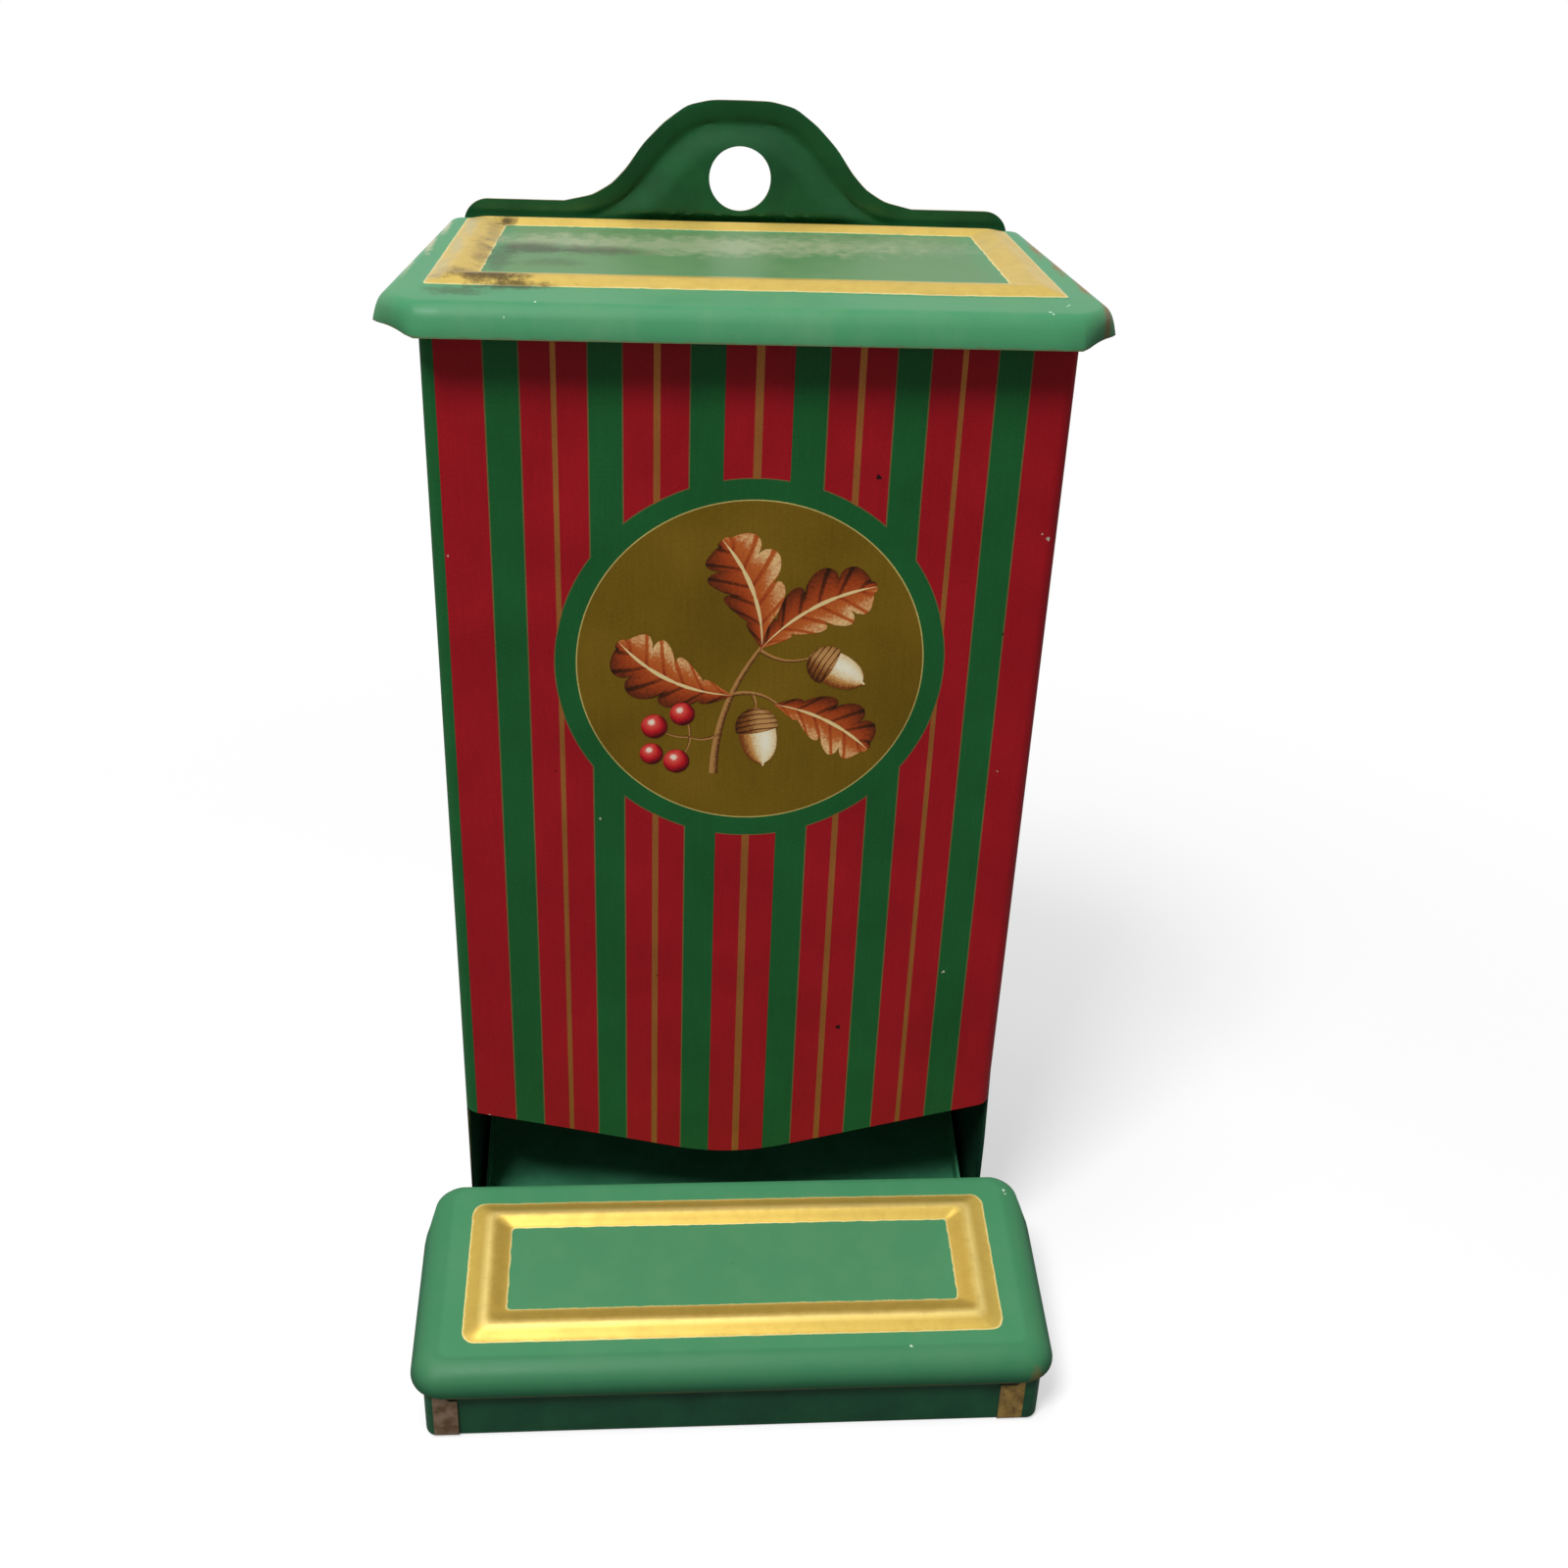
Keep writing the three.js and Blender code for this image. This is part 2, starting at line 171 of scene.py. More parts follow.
def unitVectors(vectors):
    return vectors / np.maximum(np.linalg.norm(vectors, axis=-1, keepdims=True), 1e-9)


def roundCorners(corners, radii, perArc, cut=0.0):
    # Each corner becomes an arc of its radius, tangent to the two sides that meet there. A cut from
    # 0 to 1 flattens the arc towards its chord.
    corners = np.array(corners, float)
    radii = np.broadcast_to(np.array(radii, float), len(corners))[:, None]
    before = unitVectors(np.roll(corners, 1, 0) - corners)
    after = unitVectors(np.roll(corners, -1, 0) - corners)
    half = np.arccos(np.clip((before * after).sum(1), -1, 1))[:, None] / 2
    start = corners + before * radii / np.tan(half)
    end = corners + after * radii / np.tan(half)
    centre = corners + unitVectors(before + after) * radii / np.sin(half)
    first = np.arctan2(*(start - centre).T[::-1])[:, None]
    turn = np.arctan2(*(end - centre).T[::-1])[:, None] - first
    turn = (turn + math.pi) % (2 * math.pi) - math.pi
    share = np.linspace(0, 1, perArc)
    angle = first + turn * share
    arc = centre[:, None] + radii[:, None] * np.stack([np.cos(angle), np.sin(angle)], -1)
    chord = start[:, None] + (end - start)[:, None] * share[:, None]
    return arc + (chord - arc) * np.broadcast_to(cut, len(corners))[:, None, None]


def closedRing(corners, radii, cut=0.0, perSide=24):
    # The rounded corners with the straight sides between them split evenly
    arcs = roundCorners(corners, radii, 11, cut)
    step = (np.arange(perSide) + 1)[:, None] / (perSide + 1)
    sides = arcs[:, None, -1] + (np.roll(arcs, -1, 0)[:, None, 0] - arcs[:, None, -1]) * step
    return np.concatenate([arcs, sides], 1).reshape(-1, 2)


def openLine(corners, radii, perArc=9, spacing=2.0):
    # As closedRing, for a line with two ends, its straight runs cut at about the given spacing
    arcs = roundCorners(corners, [max(radius, 1e-4) for radius in radii], perArc)
    parts = [np.array(corners[0], float)[None]]
    for arc in [*arcs[1:-1], np.array(corners[-1], float)[None]]:
        run = arc[0] - parts[-1][-1]
        count = max(2, round(np.hypot(*run) / spacing) + 1)
        parts.append(parts[-1][-1] + run * np.linspace(0, 1, count)[1:, None])
        parts.append(arc[1:])
    return np.concatenate(parts)


def lengthAlong(line):
    return np.concatenate([[0], np.cumsum(np.hypot(*np.diff(line, axis=0).T))])


def smoothStep(share):
    return share * share * (3 - 2 * share)


def gentleWaves(x, y, size, seed):
    # Sum of four slow sines in seeded directions, from about -1 to 1
    source = np.random.default_rng(seed)
    total = 0
    for angle, phase, stretch in source.uniform([0, 0, 0.7], [math.pi, 6.3, 1.4], (4, 3)):
        along = x * math.cos(angle) + y * math.sin(angle)
        total = total + np.sin(along * 2 * math.pi / (size * stretch) + phase)
    return total / 4


# The camera, as fitted to the photograph
camera = {
    "place": (-13.3, -223.3, 210.0),
    "pitchDown": 27.53,
    "yawRight": 5.13,
    "roll": -2.34,
    "focalPixels": 1733,
    "imageWidth": 1600,
    "sensorWidth": 36,
}


def makeCamera(settings):
    pitch, yaw, roll = (math.radians(settings[key]) for key in ("pitchDown", "yawRight", "roll"))
    forward = np.array([math.sin(yaw) * math.cos(pitch), math.cos(yaw) * math.cos(pitch), -math.sin(pitch)])
    level = unitVectors(np.cross(forward, [0, 0, 1]))
    below = np.cross(forward, level)
    right = math.cos(roll) * level + math.sin(roll) * below
    down = math.cos(roll) * below - math.sin(roll) * level
    data = bpy.data.cameras.new("photoCamera")
    data.sensor_width = settings["sensorWidth"]
    data.lens = settings["focalPixels"] / settings["imageWidth"] * settings["sensorWidth"]
    data.clip_start = 0.01
    data.clip_end = 20
    eye = bpy.data.objects.new("photoCamera", data)
    turned = Matrix(np.stack([right, -down, -forward], 1).tolist()).to_4x4()
    eye.matrix_world = Matrix.Translation([value * mm for value in settings["place"]]) @ turned
    bpy.context.scene.collection.objects.link(eye)
    bpy.context.scene.camera = eye


makeCamera(camera)
print("camera made")


# Materials

inks = {
    "red": "#a0141f",
    "green": "#1b5c2d",
    "fringe": "#6e6236",
    "goldLine": "#a36631",
    "disc": "#80641a",
    "discEdgeHighlight": "#cfbb70",
    "chip": "#c9c3ae",
    "dot": "#1c0b0c",
}

panelPrint = {
    "centre": 0.9,  # the stripes' middle, right of the panel's
    "pitch": 13.33,  # from one gold line to the next
    "goldHalf": 0.4,
    "greenHalf": 2.2,
    "fringe": 0.14,
    "greenStripes": 3,  # each side of the middle
    "redEnds": (-41.0, 44.0),
    "reach": 46.0,
    "discHeight": 112.8,
    "discRadius": 24.7,
    "ringRadius": 27.5,
    "haze": 0.14,
    # Where from the middle, how high, and the radius of each
    "chips": [(-40.6, 129.0, 0.10), (41.4, 132.3, 0.22), (43.3, 130.9, 0.14), (40.4, 133.0, 0.08),
              (33.0, 60.2, 0.2), (33.4, 61.2, 0.08), (-39.1, 33.2, 0.16), (38.0, 96.0, 0.05),
              (-20.6, 88.0, 0.05)],
    "dots": [(17.3, 140.8, 0.34), (16.8, 49.8, 0.34), (-27.0, 96.0, 0.12), (36.5, 118.0, 0.1),
             (-12.0, 60.0, 0.1)],
}


def makePrintMaterial(settings):
    # Offset-printed tinplate under clear varnish: deep flat inks with little haze, gold lacquer where
    # no ink lies, a fine upright rolling grain, a few pinhead chips and specks
    material, node = startMaterial("varnishedTinPrint")
    place = node("UVMap", uv_map="sheetMap")
    rolled = node("Mapping", {0: place, "Scale": (2.4, 0.12, 1)})
    grain, blotch, speck = (
        node("TexNoise", {"Vector": source, "Scale": 1 / size, "Detail": detail})
        for source, size, detail in ((rolled, 1, 3), (place, 14, 5), (place, 0.4, 3)))

    # The stripes are mirrored about their middle, so one ramp over the distance from it holds them.
    # Its alpha tells the ink: 0 red, 0.5 green, 1 gold.
    centred = node("VectorMath", (place, (settings["centre"], 0, 0)), operation="SUBTRACT")
    aside = node("Math", [node("SeparateXYZ", [centred]).outputs[0]], operation="ABSOLUTE")
    reach, fringe = settings["reach"], settings["fringe"]
    goldHalf, greenHalf = settings["goldHalf"], settings["greenHalf"]
    stops = [(0, inks["goldLine"], 1), (goldHalf, inks["red"], 0)]
    for stripe in range(settings["greenStripes"]):
        green = settings["pitch"] * (stripe + 0.5)
        gold = settings["pitch"] * (stripe + 1)
        stops += [(green - greenHalf - fringe, inks["fringe"], 0.3), (green - greenHalf, inks["green"], 0.5),
                  (green + greenHalf, inks["fringe"], 0.3), (green + greenHalf + fringe, inks["red"], 0)]
        if stripe + 1 < settings["greenStripes"]:
            stops += [(gold - goldHalf, inks["goldLine"], 1), (gold + goldHalf, inks["red"], 0)]
    stripes = node("ValToRGB", [node("Math", (aside, reach), operation="DIVIDE")])
    setStops(stripes, [(at / reach, code, alpha) for at, code, alpha in stops], "CONSTANT")

    # Past the ends of the red, the side walls are green
    unrolled = node("SeparateXYZ", [place]).outputs[0]
    low, high = settings["redEnds"]
    fromMiddle = node("Math", (unrolled, (low + high) / 2), operation="SUBTRACT")
    outward = node("Math", [fromMiddle], operation="ABSOLUTE")
    beyond = node("Math", (outward, (high - low) / 2), operation="GREATER_THAN")
    panelInk = node("Mix", {0: beyond, 6: stripes, 7: inks["green"]}, data_type="RGBA")
    panelKind = node("Mix", {0: beyond, 2: stripes.outputs["Alpha"], 3: 0.5})

    # The medallion is a ramp over the distance from its centre; the pale ring at its edge is painted
    # highlight on the disc's embossed rim
    fromDisc = node("VectorMath", (centred, (0, settings["discHeight"], 0)), operation="DISTANCE")
    disc = node("ValToRGB", [node("Math", (fromDisc, reach), operation="DIVIDE")])
    radius, ring = settings["discRadius"], settings["ringRadius"]
    setStops(disc, [(0, inks["disc"], 1), ((radius - 0.35) / reach, inks["discEdgeHighlight"], 1),
                    ((radius - 0.1) / reach, inks["green"], 0.5)], "CONSTANT")
    inRing = node("Math", (fromDisc, ring), operation="LESS_THAN")
    ink = node("Mix", {0: inRing, 6: panelInk, 7: disc}, data_type="RGBA")
    kind = node("Mix", {0: inRing, 2: panelKind, 3: disc.outputs["Alpha"]})
    isGold = node("Math", (kind, 0.75), operation="GREATER_THAN")

    # The fringe round the ring shows against red only
    nearRing = node("Math", (fromDisc, ring + fringe), operation="LESS_THAN")
    band = node("Math", (nearRing, inRing), operation="SUBTRACT")
    onRed = node("Math", (stripes.outputs["Alpha"], 0.1), operation="LESS_THAN")
    ringFringe = node("Math", (band, onRed), operation="MULTIPLY")
    bordered = node("Mix", {0: ringFringe, 6: ink, 7: inks["fringe"]}, data_type="RGBA")

    # Grain and handling make the ink a little lighter and darker
    coarse = node("Math", (grain, 0.4, blotch), operation="MULTIPLY_ADD")
    uneven = node("Math", (speck, 0.8, coarse), operation="MULTIPLY_ADD")
    shade = node("MapRange", (uneven, 0.8, 1.4, 0.82, 1.16))
    colour = node("VectorMath", {0: bordered, "Scale": shade}, operation="SCALE")

    # Chips show bright metal and dots are specks of dirt
    for spot in ("chip", "dot"):
        colour = addSpots(node, colour, place, speck, settings[spot + "s"], inks[spot])
    shader = node("BsdfPrincipled", {
        "Base Color": colour, "Metallic": node("Math", (isGold, 0.5), operation="MULTIPLY"),
        "Roughness": node("MapRange", (blotch, 0.3, 0.7, 0.34, 0.48)),
        "Specular IOR Level": settings["haze"],
        "Normal": node("Bump", {"Height": grain, "Strength": 0.08, "Distance": 0.1 * mm})})
    node("OutputMaterial", [shader])
    return material


printedFront = makePrintMaterial(panelPrint)
print("print material made")

lidInks = {
    "green": "#458a5f",
    "greenPale": "#6a976c",
    "greenSkirtShade": "#17492f",
    "goldDeep": "#94752f",
    "film": "#706a3a",
    "stain": "#2b2318",
    "dustAndHighlight": "#a9ad8e",
    "chip": "#cfe3cf",
    "rustAndShade": "#7d6337",
    "rubbed": "#5b5636",
}


def makeLidMaterial(name, settings):
    # Green enamel with a gold-lacquered frame: the gold is bare lacquered metal, so it mirrors
    # softly and gets a fine grain, and the green has a dusty film, hand wear, ragged dark stains and painted
    # shade low on the skirt
    material, node = startMaterial(name)
    place = node("UVMap", uv_map="sheetMap")
    ring = node("Attribute", attribute_name="ringPlace").outputs["Fac"]
    fine, cloud, ragged = (
        node("TexNoise", {"Vector": place, "Scale": 1 / size, "Detail": detail, "Roughness": rough})
        for size, detail, rough in ((0.45, 4, 0.5), (9, 6, 0.62), (2.2, 7, 0.7)))

    # ringPlace is 2 at the frame's outer border and 3 at its inner one
    wander = node("MapRange", (ragged, 0.3, 0.7, -0.02, 0.02))
    shifted = node("Math", (ring, wander), operation="ADD")
    # Pale stops just inside both borders, and the crest stop where it is paler than the gold, are painted
    # highlights along the frame's bead
    goldBand = node("ValToRGB", [node("MapRange", (shifted, 1.9, 3.1))])
    gold, edge = settings["gold"], settings["goldEdgeHighlight"]
    crest, half = (0.1 + settings["crest"]) / 1.2, settings["crestHalf"]
    setStops(goldBand, [(0.076, edge, 0), (0.088, edge, 1), (0.125, gold, 1), (crest - half, gold, 1),
                        (crest, settings["goldCrestHighlight"], 1), (crest + half, gold, 1),
                        (0.85, gold, 1), (0.885, edge, 1), (0.897, edge, 0)])
    isGold = goldBand.outputs["Alpha"]

    # The green is rubbed pale in clouds, gets painted shade low on the skirt, and has a film of old
    # dust over the panel. The gold is tarnished in small patches.
    colour = lidInks["green"]
    for share, ink in (((cloud, 0.42, 0.68, 0, settings["wear"]), "greenPale"),
                       ((ring, settings["darkBelow"], 0, 0, settings["dark"]), "greenSkirtShade"),
                       ((ring, 2.9, 3.1, 0, settings["film"]), "film")):
        colour = node("Mix", {0: node("MapRange", share), 6: colour, 7: lidInks[ink]}, data_type="RGBA")
    mottle = node("MapRange", (ragged, 0.45, 0.78, 0, 0.3))
    lacquer = node("Mix", {0: mottle, 6: goldBand, 7: lidInks["goldDeep"]}, data_type="RGBA")
    colour = node("Mix", {0: isGold, 6: colour, 7: lacquer}, data_type="RGBA")

    # Dust, stains and rust, and some pale and dark marks that are painted highlight and painted shade, break
    # up on the coarse noise: middle, half width, half depth and strength
    for kind in ("dustAndHighlight", "stain", "rustAndShade"):
        for u, v, width, depth, strength in settings[kind]:
            moved = node("Mapping", {
                0: place, "Location": (-u / width, -v / depth, 0), "Scale": (1 / width, 1 / depth, 1)})
            away = node("VectorMath", [moved], operation="LENGTH")
            broken = node("Math", (ragged, 2.6, -0.75), operation="MULTIPLY_ADD")
            level = node("Math", (broken, away), operation="SUBTRACT")
            hit = node("MapRange", (level, -0.6, 0.2, 0, strength))
            colour = node("Mix", {0: hit, 6: colour, 7: lidInks[kind]}, data_type="RGBA")
    colour = addSpots(node, colour, place, fine, settings["chips"], lidInks["chip"])

    # The skirt's cut edge is rubbed down to a brownish line
    rubbed = node("Math", (ragged, 0.2, ring), operation="MULTIPLY_ADD")
    atEdge = node("MapRange", (rubbed, 0.11, 0.18, 0.7, 0))
    shader = node("BsdfPrincipled", {
        "Base Color": node("Mix", {0: atEdge, 6: colour, 7: lidInks["rubbed"]}, data_type="RGBA"),
        "Metallic": node("Math", (isGold, settings["metal"]), operation="MULTIPLY"),
        "Roughness": node("MapRange", (cloud, 0.3, 0.7, 0.33, 0.47)),
        "Specular IOR Level": settings["haze"],
        "Normal": node("Bump", {"Height": fine, "Strength": 0.14, "Distance": 0.08 * mm})})
    node("OutputMaterial", [shader])
    return material


def makeEnamelMaterial(name, code, shadeCode):
    # Plain printed enamel: one ink, with soft blotches, faint rubbing and an eggshell gloss
    material, node = startMaterial(name)
    place = node("TexCoord").outputs["Object"]
    cloud, fine = (
        node("TexNoise", {"Vector": place, "Scale": 1 / (size * mm), "Detail": detail, "Roughness": rough})
        for size, detail, rough in ((9, 5, 0.6), (0.5, 3, 0.5)))
    blend = node("MapRange", (cloud, 0.38, 0.66))
    shader = node("BsdfPrincipled", {
        "Base Color": node("Mix", {0: blend, 6: code, 7: shadeCode}, data_type="RGBA"),
        "Roughness": node("MapRange", (cloud, 0.3, 0.7, 0.34, 0.5)),
        "Specular IOR Level": 0.2,
        "Normal": node("Bump", {"Height": fine, "Strength": 0.1, "Distance": 0.08 * mm})})
    node("OutputMaterial", [shader])
    return material


def makeMetalMaterial(name, code, darkCode, metallic, roughness):
    # Bare or lacquered tinplate: a soft mirror with a fine upright rolling grain and tarnish
    material, node = startMaterial(name)
    place = node("TexCoord").outputs["Object"]
    stretched = node("Mapping", {0: place, "Scale": (3.2 / mm, 3.2 / mm, 0.06 / mm)})
    grain = node("TexNoise", {"Vector": stretched, "Scale": 1, "Detail": 3})
    tarnish = node("TexNoise", {"Vector": place, "Scale": 1 / (4 * mm), "Detail": 6, "Roughness": 0.65})
    blend = node("MapRange", (tarnish, 0.4, 0.7))
    shader = node("BsdfPrincipled", {
        "Base Color": node("Mix", {0: blend, 6: code, 7: darkCode}, data_type="RGBA"),
        "Metallic": metallic,
        "Roughness": node("MapRange", (grain, 0.3, 0.7, roughness - 0.06, roughness + 0.08))})
    node("OutputMaterial", [shader])
    return material


darkEnamel = makeEnamelMaterial("darkGreenEnamel", "#19532d", "#134424")
trayGreens = ("#1a5233", "#14412a")
trayEnamel = makeEnamelMaterial("trayGreenEnamel", *trayGreens)
# The inside's green is darkened towards black as painted shade for the unlit inside of the tin
innerEnamel = makeEnamelMaterial("innerGreenEnamel", "#12382a", "#0d2a1e")
# The ramp's green is lightened as painted light, so that it shows in the dim slot
rampEnamel = makeEnamelMaterial("rampGreenEnamel", "#4a9a70", "#3c855e")
goldLacquer = makeMetalMaterial("goldLacquer", "#b08a48", "#7a5a2c", 0.8, 0.38)
cutEdge = makeMetalMaterial("cutTinEdge", "#a59a78", "#5c4b2f", 0.8, 0.42)
tinnedWire = makeMetalMaterial("tinnedWire", "#b9b7ae", "#8a8678", 1.0, 0.34)
print("metal and enamel materials made")


# The lids: stamped pans whose outlines lie in the lid's own plane, from the wire's axis

topLid = {
    "name": "topLidPan", "body": "top_lid", "hinge": "top_lid_hinge", "slope": 5.5,
    "outline": {"rear": 2.9, "front": -40.0, "rearHalf": 42.6, "frontHalf": 49.9},
    "rearCorner": 1.6, "frontCorner": 6.0, "cornerCut": 0.95, "cornerLift": 0.5, "top": 2.9, "skirt": 4.0,
    # How far the rim reaches in at the rear edge, the front edge, and the sides' rear and front ends
    "rim": (1.2, 3.3, 2.4, 3.2), "flare": (0.0, 1.4, 0.0, 1.3), "straight": 0.4, "fullness": 3.0,
    "frameOuter": {"rear": 1.6, "front": -30.4, "rearHalf": 39.4, "frontHalf": 42.4},
    "frameInner": {"rear": -2.1, "front": -24.4, "rearHalf": 33.4, "frontHalf": 35.2},
    "frameCorners": (0.5, 0.3),
    "crest": 0.45, "frameHeight": 0.8, "roundness": 0.2, "reliefHalf": 41.5,
    "wireHalf": 42.6, "curlHalf": 39.1,
    # How high over the wire's axis the walls end under the lid, and where they drop towards the wire
    "under": 2.1, "flatFrom": -12,
}
lowerLid = {
    "name": "lowerLidPan", "body": "lower_lid", "hinge": "lower_lid_hinge", "slope": 13.0,
    "outline": {"rear": 2.9, "front": -33.6, "rearHalf": 49.4, "frontHalf": 49.4},
    "rearCorner": 5.5, "frontCorner": 5.0, "cornerCut": 0.0, "cornerLift": 0.3, "top": 2.9, "skirt": 3.6,
    "rim": (1.0, 4.6, 4.0, 4.0), "flare": (0.0, 0.3, 0.0, 0.2), "straight": 0.15, "fullness": 2.0,
    "frameOuter": {"rear": -1.3, "front": -26.5, "rearHalf": 41.8, "frontHalf": 41.8},
    "frameInner": {"rear": -6.3, "front": -20.7, "rearHalf": 35.0, "frontHalf": 35.0},
    "frameCorners": (2.0, 0.5),
    "crest": 0.5, "frameHeight": 0.8, "roundness": 1.0, "reliefHalf": 46.4,
    "wireHalf": 47.6, "curlHalf": 43.9, "under": 1.6, "flatFrom": -6,
}
# The skirts are cut short behind reliefFront, fading in over reliefFade, up to the height reliefTop
reliefFront, reliefFade, reliefTop = -2.4, 5.0, 2.1
wireRadius, lidWaves = 0.7, 0.07


def outlineCorners(outline, inset=(0, 0, 0, 0)):
    # Insets are those of the rear edge, the front edge, and the sides at their rear and front ends
    rear, front = outline["rear"] - inset[0], outline["front"] + inset[1]
    rearHalf, frontHalf = outline["rearHalf"] - inset[2], outline["frontHalf"] - inset[3]
    return np.array([(rearHalf, rear), (-rearHalf, rear), (-frontHalf, front), (frontHalf, front)])


def fromLidPlane(lid, points):
    # Points of the lid's plane turned by its slope and moved to the wire's axis
    slope = math.radians(lid["slope"])
    x, y, z = np.moveaxis(points, -1, 0)
    axis = hinges[lid["hinge"]]
    return np.stack([
        x, axis[1] + y * math.cos(slope) - z * math.sin(slope),
        axis[2] + y * math.sin(slope) + z * math.cos(slope)], -1)


def makeLidMesh(lid):
    # Rings run from the skirt's edge up round the rim, over the flat and the frame's ridge, and in
    # to the middle. Each ring is the outline, or a blend of two outlines, at its own height. Going
    # up the rim by u from 0 to 1, the outline moves in by flare * u, and by the rest of the rim's
    # inset as one less the root of one less u to the power of fullness.
    corner = np.array([lid["rearCorner"], lid["rearCorner"], lid["frontCorner"], lid["frontCorner"]])
    cut = np.array([0, 0, lid["cornerCut"], lid["cornerCut"]])
    rim, flare = np.array(lid["rim"]), np.array(lid["flare"])
    top, bottom = lid["top"], lid["top"] - lid["skirt"]
    rings, heights, places = [], [], []

    def addRing(corners, radii, height, place, flatten=0.0):
        rings.append(closedRing(corners, radii, cut * flatten))
        heights.append(height)
        places.append(place)

    climbs = np.concatenate([np.linspace(0, 0.6, 5), np.sin(np.radians(np.linspace(40, 90, 16)))])
    rimRows = len(climbs)
    straight = lid["straight"] / lid["skirt"]
    for climb in climbs:
        curve = np.clip((climb - straight) / (1 - straight), 0, 1)
        inset = flare * climb + (rim - flare) * (1 - np.sqrt(1 - curve ** lid["fullness"]))
        addRing(outlineCorners(lid["outline"], inset), np.maximum(corner - inset.mean(), 0.6),
                bottom + climb * lid["skirt"], climb, 1 - 0.6 * climb)
    flat = outlineCorners(lid["outline"], rim)
    outer, inner = outlineCorners(lid["frameOuter"]), outlineCorners(lid["frameInner"])
    outerCorner, innerCorner = lid["frameCorners"]
    flatCorner = np.maximum(corner - rim.mean(), 0.6)
    for step in np.linspace(0, 1, 6)[1:]:
        addRing(flat + (outer - flat) * step, flatCorner + (outerCorner - flatCorner) * step, top, 1 + step,
                0.4 * (1 - step))
    for step in np.linspace(0, 1, 21)[1:]:
        rise = step / lid["crest"] if step < lid["crest"] else (1 - step) / (1 - lid["crest"])
        ridge, bead = rise ** 0.85, 0.5 - 0.5 * math.cos(rise * math.pi)
        height = lid["frameHeight"] * (ridge + (bead - ridge) * lid["roundness"])
        addRing(outer + (inner - outer) * step, outerCorner + (innerCorner - outerCorner) * step,
                top + height, 2 + step)
    middle = inner.mean(0)
    for step in np.linspace(0, 1, 12)[1:]:
        shrink = max(1 - step, 0.004)
        addRing(middle + (inner - middle) * shrink, innerCorner * shrink, top, 3 + step)
    flatPoints = np.stack(rings)
    levels = np.stack([heights, places], -1)[:, None]
    grid = np.concatenate([flatPoints, np.broadcast_to(levels, flatPoints.shape)], -1)
    # Near the rear corners the skirt is cut short, clear of the walls: there the rim's rows are
    # spread over its upper part alone, by blending each from the two rows that it falls between
    column, row = np.arange(grid.shape[1]), np.arange(rimRows)
    x, y = grid[0, :, 0], grid[0, :, 1]
    share = (np.abs(x) > lid["reliefHalf"]) * np.clip(1 + (y - reliefFront) / reliefFade, 0, 1)
    first = np.interp(reliefTop, heights[:rimRows], row) * share
    wanted = first + (1 - first / (rimRows - 1)) * row[:, None]
    below = np.minimum(wanted.astype(int), rimRows - 2)
    blend = (wanted - below)[..., None]
    grid[:rimRows] = grid[below, column] * (1 - blend) + grid[below + 1, column] * blend
    x, y, height, place = np.moveaxis(grid, -1, 0)
    # The skirt's edge rises at the front corners, as far as it climbs round both sides of them
    outline, corner = lid["outline"], lid["frontCorner"]
    aside = np.clip((np.abs(x) - outline["frontHalf"] + corner) / corner, 0, 1)
    ahead = np.clip((outline["front"] + corner - y) / corner, 0, 1)
    height = height + lid["cornerLift"] * np.minimum(1, 4 * aside * ahead) * np.clip(1 - place, 0, 1)
    # The pressed sheet isn't quite flat
    height = height + lidWaves * gentleWaves(x, y, 34, 5) * np.clip(place - 0.9, 0, 1)
    points = fromLidPlane(lid, np.stack([x, y, height], -1))
    return meshFromGrid(lid["name"], points, uv=grid[..., :2], layers={"ringPlace": place}, wrap=True)


def makeCurlMesh(lid):
    # The rear edge: a strip of the sheet that turns down and curls forward round the wire. Its
    # cross-section is a line with the sheet's thickness, carried across the lid.
    roll = wireRadius + 0.35
    rear = lid["outline"]["rear"] - sheet / 2
    line = openLine([(rear, 0.6), (rear, -roll), (0, -roll)], (0, 1.2, 0), perArc=10, spacing=0.8)
    angle = np.radians(np.arange(-100, -301, -10))
    line = np.concatenate([line, roll * np.stack([np.cos(angle), np.sin(angle)], -1)])
    along = unitVectors(np.gradient(line, axis=0))
    normal = np.stack([-along[:, 1], along[:, 0]], -1) * sheet / 2
    loop = np.concatenate([line + normal, (line - normal)[::-1]])
    across, y, height = np.broadcast_arrays(
        np.linspace(-lid["curlHalf"], lid["curlHalf"], 40)[:, None], loop[:, 0], loop[:, 1])
    points = np.stack([across, y, height], -1)
    return meshFromGrid(lid["name"] + "Curl", fromLidPlane(lid, points), uv=points[..., :2],
                        layers={"ringPlace": 0.5}, wrap=True, caps=True)


def makeWireMesh(lid):
    # A straight wire with domed ends: circles along x whose radius falls off in the last quarter mm
    half, dome = lid["wireHalf"], np.radians([10, 25, 40, 60, 80])
    end, tip = 0.25 * (1 - np.cos(dome)), 0.4 + 0.6 * np.sin(dome)
    along = np.concatenate([-half + end, np.linspace(-half + 0.3, half - 0.3, 30), half - end[::-1]])[:, None]
    radius = wireRadius * np.concatenate([tip, np.ones(30), tip[::-1]])[:, None]
    angle = np.linspace(0, 2 * math.pi, 24, endpoint=False)
    points = np.stack(np.broadcast_arrays(along, radius * np.cos(angle), radius * np.sin(angle)), -1)
    return meshFromGrid(lid["name"] + "Wire", fromLidPlane(lid, points), wrap=True, caps=True)


